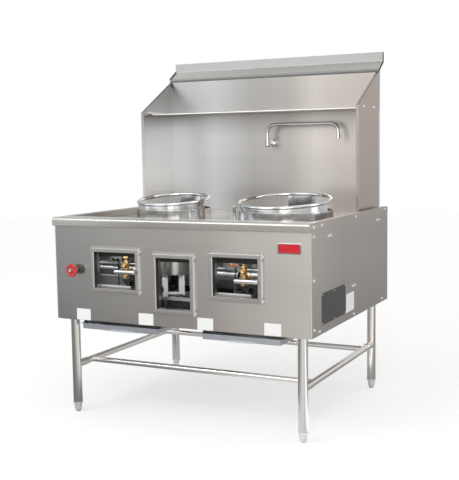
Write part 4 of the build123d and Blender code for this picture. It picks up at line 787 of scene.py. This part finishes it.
class WOKRANGE_OT_cocks(bpy.types.Operator):
    """Brass parts that turn with each knee lever: a packing nut, its domed gland and a stop band."""
    bl_idname = "wok_range.cocks"
    bl_label = "Gas cock tops"

    TEE_DROP, TOP_DROP, AHEAD = 5.5 * MM, 24 * MM, 14 * MM     # from the hub's head, the tee and the rear
    NUT = ((6 * MM, 0), (10.5 * MM, 0), (10.5 * MM, 6 * MM), (9 * MM, 8 * MM), (6 * MM, 8 * MM))
    DOME = ((5.6 * MM, 7 * MM), (8.6 * MM, 7.5 * MM), (7.6 * MM, 11 * MM), (5.6 * MM, 12.5 * MM))
    BAND, BAND_ROUND = (3.2 * MM, 9 * MM), 1.2 * MM
    BAND_RADIUS, BAND_ENDS, BAND_DROP = 16.2 * MM, (-95, 55), 6 * MM

    def execute(self, context):
        finish = brass("polished brass", context.scene.wok_range_finishes.brass)
        up = (0, 0, 1)
        for side in STATION_X:
            _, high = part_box("lever_hub_" + side)
            x, y, top = VALVE[side][0], high[1] - self.AHEAD, high[2] - self.TEE_DROP - self.TOP_DROP
            nut = lathe(self.NUT, up, (x, y, top), 6)
            dome = lathe(self.DOME, up, (x, y, top), 32)
            round_the_cock = arc((x, y, top - self.BAND_DROP), self.BAND_RADIUS, *self.BAND_ENDS, up)
            band = bar(round_the_cock, *self.BAND, up, self.BAND_ROUND)
            piece("cock_top_" + side, [nut, dome, band], finish, "knee_lever_" + side, 30)
        return {"FINISHED"}


class WOKRANGE_OT_welds(bpy.types.Operator):
    """Ground weld beads where each ring's bar stands on its skirt."""
    bl_idname = "wok_range.welds"
    bl_label = "Ring welds"

    BEARINGS, HALF_LENGTH = (-150, -110, -70, -30), 4      # degrees
    BEAD, RIPPLES, RIPPLE_SHARE, POINTS = 1.8 * MM, 9, 0.18, 40

    def execute(self, context):
        finish = polished_metal("ground weld", grey(0.8), 0.3)
        for side, x in STATION_X.items():
            low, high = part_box("wok_ring_" + side)
            radius = (high[0] - low[0]) / 2 - RING_BAR
            centre = (x, (low[1] + high[1]) / 2, high[2] - RING_BAR - radius * sin(RING_TILT))
            beads = [self.bead(centre, radius, bearing) for bearing in self.BEARINGS]
            piece("ring_welds_" + side, beads, finish, "wok_ring_" + side)
        return {"FINISHED"}

    def bead(self, centre, radius, bearing):
        """Rippled bead along an arc under the tilted bar: its own radius swells by the sine of the ripple."""
        a = np.radians(bearing + np.linspace(-self.HALF_LENGTH, self.HALF_LENGTH, self.POINTS))
        across, back = radius * np.cos(a), radius * np.sin(a)
        path = np.stack([across, back, back * np.tan(RING_TILT) - RING_BAR], axis=-1) + centre
        wave = np.sin(np.linspace(0, 2 * pi * self.RIPPLES, self.POINTS))
        return tube(path, self.BEAD * (1 + self.RIPPLE_SHARE * wave), 12)


class WOKRANGE_OT_chrome(bpy.types.Operator):
    """Chrome plate on the spout, the lever grips and the overflow pipe."""
    bl_idname = "wok_range.chrome"
    bl_label = "Chrome plate"

    def execute(self, context):
        finish_nodes(polished_metal("chrome plate", context.scene.wok_range_finishes.chrome, 0.08),
                     "spout", "faucet_body", "lever_left", "lever_right", "overflow_pipe")
        return {"FINISHED"}


class WOKRANGE_OT_labels(bpy.types.Operator):
    """Bare label film and the bare data plate."""
    bl_idname = "wok_range.labels"
    bl_label = "Labels"

    def execute(self, context):
        finishes = context.scene.wok_range_finishes
        finish_nodes(printed_film("white label film", finishes.label), "blank_labels")
        finish_nodes(printed_film("dark anodised plate", finishes.plate, 0.42), "data_plate")
        return {"FINISHED"}


# Levels that reflections find round the room: degrees from +X towards +Y, and the level there
ROOM_PANELS = (
    (-180, 0.6), (-166, 0.55), (-160, 1.4), (-152, 1.4), (-146, 0.85), (-130, 1.0), (-105, 1.0),
    (-92, 0.75), (-83, 0.45), (-79, 2.4), (-67, 2.4), (-63, 0.55), (-52, 0.85), (-20, 0.75), (-4, 0.45),
    (4, 2.2), (16, 2.2), (21, 0.55), (45, 0.72), (75, 0.78), (95, 0.9), (120, 0.6), (150, 0.5), (180, 0.6),
)
# The same in the floor near the legs, where the tubes look down on it: lamps and flags mirrored there
FLOOR_PANELS = (
    (-180, 0.5), (-150, 0.2), (-115, 0.28), (-95, 0.45), (-70, 0.8), (-50, 0.8), (-35, 0.65), (-24, 1.35),
    (-8, 1.35), (2, 0.45), (40, 0.3), (80, 0.5), (180, 0.5),
)
FLOOR_PANELS_REACH = 4.0
FLOOR_RADII = (0.0, 3.0, 12.0)

# Lamps: place, aim, width and height; the key and the corner lamp share one power
KEY_LAMP = ((-1.6, -3.4, 3.2), (0, 0, 0.9), 2.4, 1.6)
CORNER_LAMP, CORNER_SHARE = ((2.7, -4.7, 2.0), (-0.3, 0.3, 1.1), 2.0, 2.0), 0.8
INSIDE_LAMP = ((0, -0.455, 0.82), (0, -0.2, 0.5), 1.1, 0.04)

CAMERA_PLACE = (1.8575, -3.7285, 1.184)
CAMERA_YAW, CAMERA_PITCH, CAMERA_ROLL = 0.4612, 0.1025, -0.0154     # radians


def lamp(name, place, aim, width, height, power, shown=True):
    """Soft rectangular lamp at a place, turned to its aim; one that isn't shown only lights."""
    light = bpy.data.lights.new(name, "AREA")
    light.shape, light.size, light.size_y, light.energy = "RECTANGLE", width, height, power
    made = bpy.data.objects.new(name, light)
    made.location = place
    made.rotation_euler = (Vector(aim) - Vector(place)).to_track_quat("-Z", "Y").to_euler()
    made.visible_camera = shown
    bpy.context.scene.collection.objects.link(made)


def levels_round(tree, way, panels):
    """Level that a table of bearings and levels gives in the direction of a split vector."""
    peak = max(level for _, level in panels)
    bearing = add_node(tree, "Math", {0: way.outputs["Y"], 1: way.outputs["X"]}, operation="ARCTAN2")
    turned = add_node(tree, "MapRange", {"Value": bearing.outputs[0], "From Min": -pi, "From Max": pi})
    ramp = add_node(tree, "ValToRGB", {"Fac": turned.outputs[0]}, stops=tuple(
        (0.5 + degrees_round / 360, grey(level / peak)) for degrees_round, level in panels))
    return add_node(tree, "VectorMath", {0: ramp.outputs["Color"], "Scale": peak},
                    operation="SCALE").outputs[0]


class WOKRANGE_OT_stage(bpy.types.Operator):
    """Pale floor, white room, soft lamps and the camera."""
    bl_idname = "wok_range.stage"
    bl_label = "Stage"

    def execute(self, context):
        settings = context.scene.wok_range_stage
        self.floor(settings.floor)
        self.room(context.scene, settings.room)
        lamp("key lamp", *KEY_LAMP, settings.key)
        lamp("corner lamp", *CORNER_LAMP, settings.key * CORNER_SHARE)
        lamp("lamp inside the cabinet", *INSIDE_LAMP, settings.inside, shown=False)
        self.camera(context.scene, settings.lens)
        return {"FINISHED"}

    def floor(self, colour):
        """Disc whose rings have radius r and height 0: (r cos a, r sin a, 0)."""
        disc = lathe([(r, 0) for r in FLOOR_RADII], (0, 0, 1), (0, 0, 0), 64)
        mesh = closed_mesh("floor", *disc, outwards=False)
        material, tree, shader, place = new_material("pale studio floor")
        # The camera sees the floor lifted to white; its shadow stays
        path = add_node(tree, "LightPath")
        lift = add_node(tree, "MapRange", {
            "Value": path.outputs["Is Camera Ray"], "To Min": 0.0, "To Max": 0.5})
        feed(tree, shader, {"Base Color": colour, "Roughness": 0.9, "Specular IOR Level": 0.0,
                            "Emission Color": grey(1.0), "Emission Strength": lift.outputs[0]})
        # Polished tubes find soft panels in the floor about the range
        away = add_node(tree, "VectorMath", {0: place}, operation="LENGTH").outputs["Value"]
        near = add_node(tree, "Math", {0: away, 1: FLOOR_PANELS_REACH}, operation="LESS_THAN")
        mirrored = add_node(tree, "Math", {0: near.outputs[0], 1: path.outputs["Is Glossy Ray"]},
                            operation="MULTIPLY")
        glow = add_node(tree, "Emission", {"Color": levels_round(
            tree, add_node(tree, "SeparateXYZ", {0: place}), FLOOR_PANELS)})
        mix = add_node(tree, "MixShader", {
            0: mirrored.outputs[0], 1: shader.outputs[0], 2: glow.outputs[0]})
        feed(tree, tree.nodes["Material Output"], {"Surface": mix.outputs[0]})
        mesh.materials.append(material)
        made = bpy.data.objects.new("floor", mesh)
        bpy.context.scene.collection.objects.link(made)

    def room(self, scene, strength):
        """White to the camera and in reflections; a plain soft level for everything else."""
        world = bpy.data.worlds.new("white room")
        world.use_nodes = True
        tree = world.node_tree
        path = add_node(tree, "LightPath")
        shown = add_node(tree, "Math", {
            0: path.outputs["Is Camera Ray"], 1: path.outputs["Is Transmission Ray"]}, operation="MAXIMUM")
        clear = add_node(tree, "Math", {0: shown.outputs[0], 1: path.outputs["Is Glossy Ray"]},
                         operation="MAXIMUM")
        level = add_node(tree, "MapRange", {"Value": clear.outputs[0], "To Min": strength, "To Max": 1.0})
        # Reflections find soft panels in that white: whole ahead and to the left, tall bright strips
        # between greyer gaps, as in a studio of standing lamps
        way = add_node(tree, "SeparateXYZ", {0: add_node(tree, "TexCoord").outputs["Generated"]})
        rise = add_node(tree, "MapRange", {"Value": way.outputs["Z"], "From Min": -0.2, "From Max": 1.0})
        height = add_node(tree, "ValToRGB", {"Fac": rise.outputs[0]}, stops=(
            (0.0, grey(0.55)), (0.17, grey(0.9)), (0.3, grey(1.0)), (0.6, grey(0.8)), (1.0, grey(1.0))))
        multiply = {"data_type": "RGBA", "blend_type": "MULTIPLY"}
        both = add_node(tree, "Mix", {"Factor": 1.0, 6: height.outputs["Color"],
                                      7: levels_round(tree, way, ROOM_PANELS)}, **multiply)
        across = add_node(tree, "MapRange", {"Value": way.outputs["X"], "From Min": -1.0, "From Max": 1.0})
        hue = add_node(tree, "ValToRGB", {"Fac": across.outputs[0]},
                       stops=((0.1, linear("#F6FBFF")), (0.5, linear("#FFFEFC"))))
        cool = add_node(tree, "Mix", {"Factor": 1.0, 6: both.outputs[2], 7: hue.outputs["Color"]}, **multiply)
        pick = add_node(tree, "Mix", {"Factor": shown.outputs[0], 6: cool.outputs[2], 7: grey(1.0)},
                        data_type="RGBA")
        feed(tree, tree.nodes["Background"], {"Color": pick.outputs[2], "Strength": level.outputs[0]})
        scene.world = world

    def camera(self, scene, lens):
        """Camera turned by yaw, then pitch down, then roll."""
        ahead = np.array([-sin(CAMERA_YAW) * cos(CAMERA_PITCH), cos(CAMERA_YAW) * cos(CAMERA_PITCH),
                          -sin(CAMERA_PITCH)])
        right = np.cross(ahead, (0, 0, 1))
        right /= np.linalg.norm(right)
        up = np.cross(right, ahead)
        rolled = (right * cos(CAMERA_ROLL) + up * sin(CAMERA_ROLL),
                  up * cos(CAMERA_ROLL) - right * sin(CAMERA_ROLL))
        matrix = np.eye(4)
        matrix[:3] = np.stack([*rolled, -ahead, CAMERA_PLACE], axis=1)
        data = bpy.data.cameras.new("camera")
        data.lens, data.sensor_width, data.clip_end = lens, 36.0, 60.0
        made = bpy.data.objects.new("camera", data)
        made.matrix_world = Matrix(matrix.tolist())
        scene.collection.objects.link(made)
        scene.camera = made


class WOKRANGE_PT_panel(bpy.types.Panel):
    """Lists the range's pieces and settings in the sidebar."""
    bl_label = "Wok range"
    bl_idname = "WOKRANGE_PT_panel"
    bl_space_type = "VIEW_3D"
    bl_region_type = "UI"
    bl_category = "Wok range"

    def draw(self, context):
        for settings in (context.scene.wok_range_finishes, context.scene.wok_range_stage):
            for name in settings.__annotations__:
                self.layout.prop(settings, name)
        for operator in OPERATORS:
            self.layout.operator(operator.bl_idname)


OPERATORS = (
    WOKRANGE_OT_sheets, WOKRANGE_OT_tubes, WOKRANGE_OT_rings, WOKRANGE_OT_gas_train, WOKRANGE_OT_windows,
    WOKRANGE_OT_pilots, WOKRANGE_OT_hangers, WOKRANGE_OT_side_channel, WOKRANGE_OT_crown_ends,
    WOKRANGE_OT_tray_stop, WOKRANGE_OT_handwheel, WOKRANGE_OT_cocks, WOKRANGE_OT_welds,
    WOKRANGE_OT_chrome, WOKRANGE_OT_labels, WOKRANGE_OT_stage,
)
CLASSES = (WokRangeFinishes, WokRangeStage, *OPERATORS, WOKRANGE_PT_panel)


def register():
    for cls in CLASSES:
        bpy.utils.register_class(cls)
    bpy.types.Scene.wok_range_finishes = bpy.props.PointerProperty(type=WokRangeFinishes)
    bpy.types.Scene.wok_range_stage = bpy.props.PointerProperty(type=WokRangeStage)


def unregister():
    del bpy.types.Scene.wok_range_stage
    del bpy.types.Scene.wok_range_finishes
    for cls in reversed(CLASSES):
        bpy.utils.unregister_class(cls)


def main():
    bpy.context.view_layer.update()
    register()
    bpy.context.scene.view_settings.view_transform = "Standard"
    for operator in OPERATORS:
        group, name = operator.bl_idname.split(".")
        getattr(getattr(bpy.ops, group), name)()


if __name__ == "__main__":
    main()
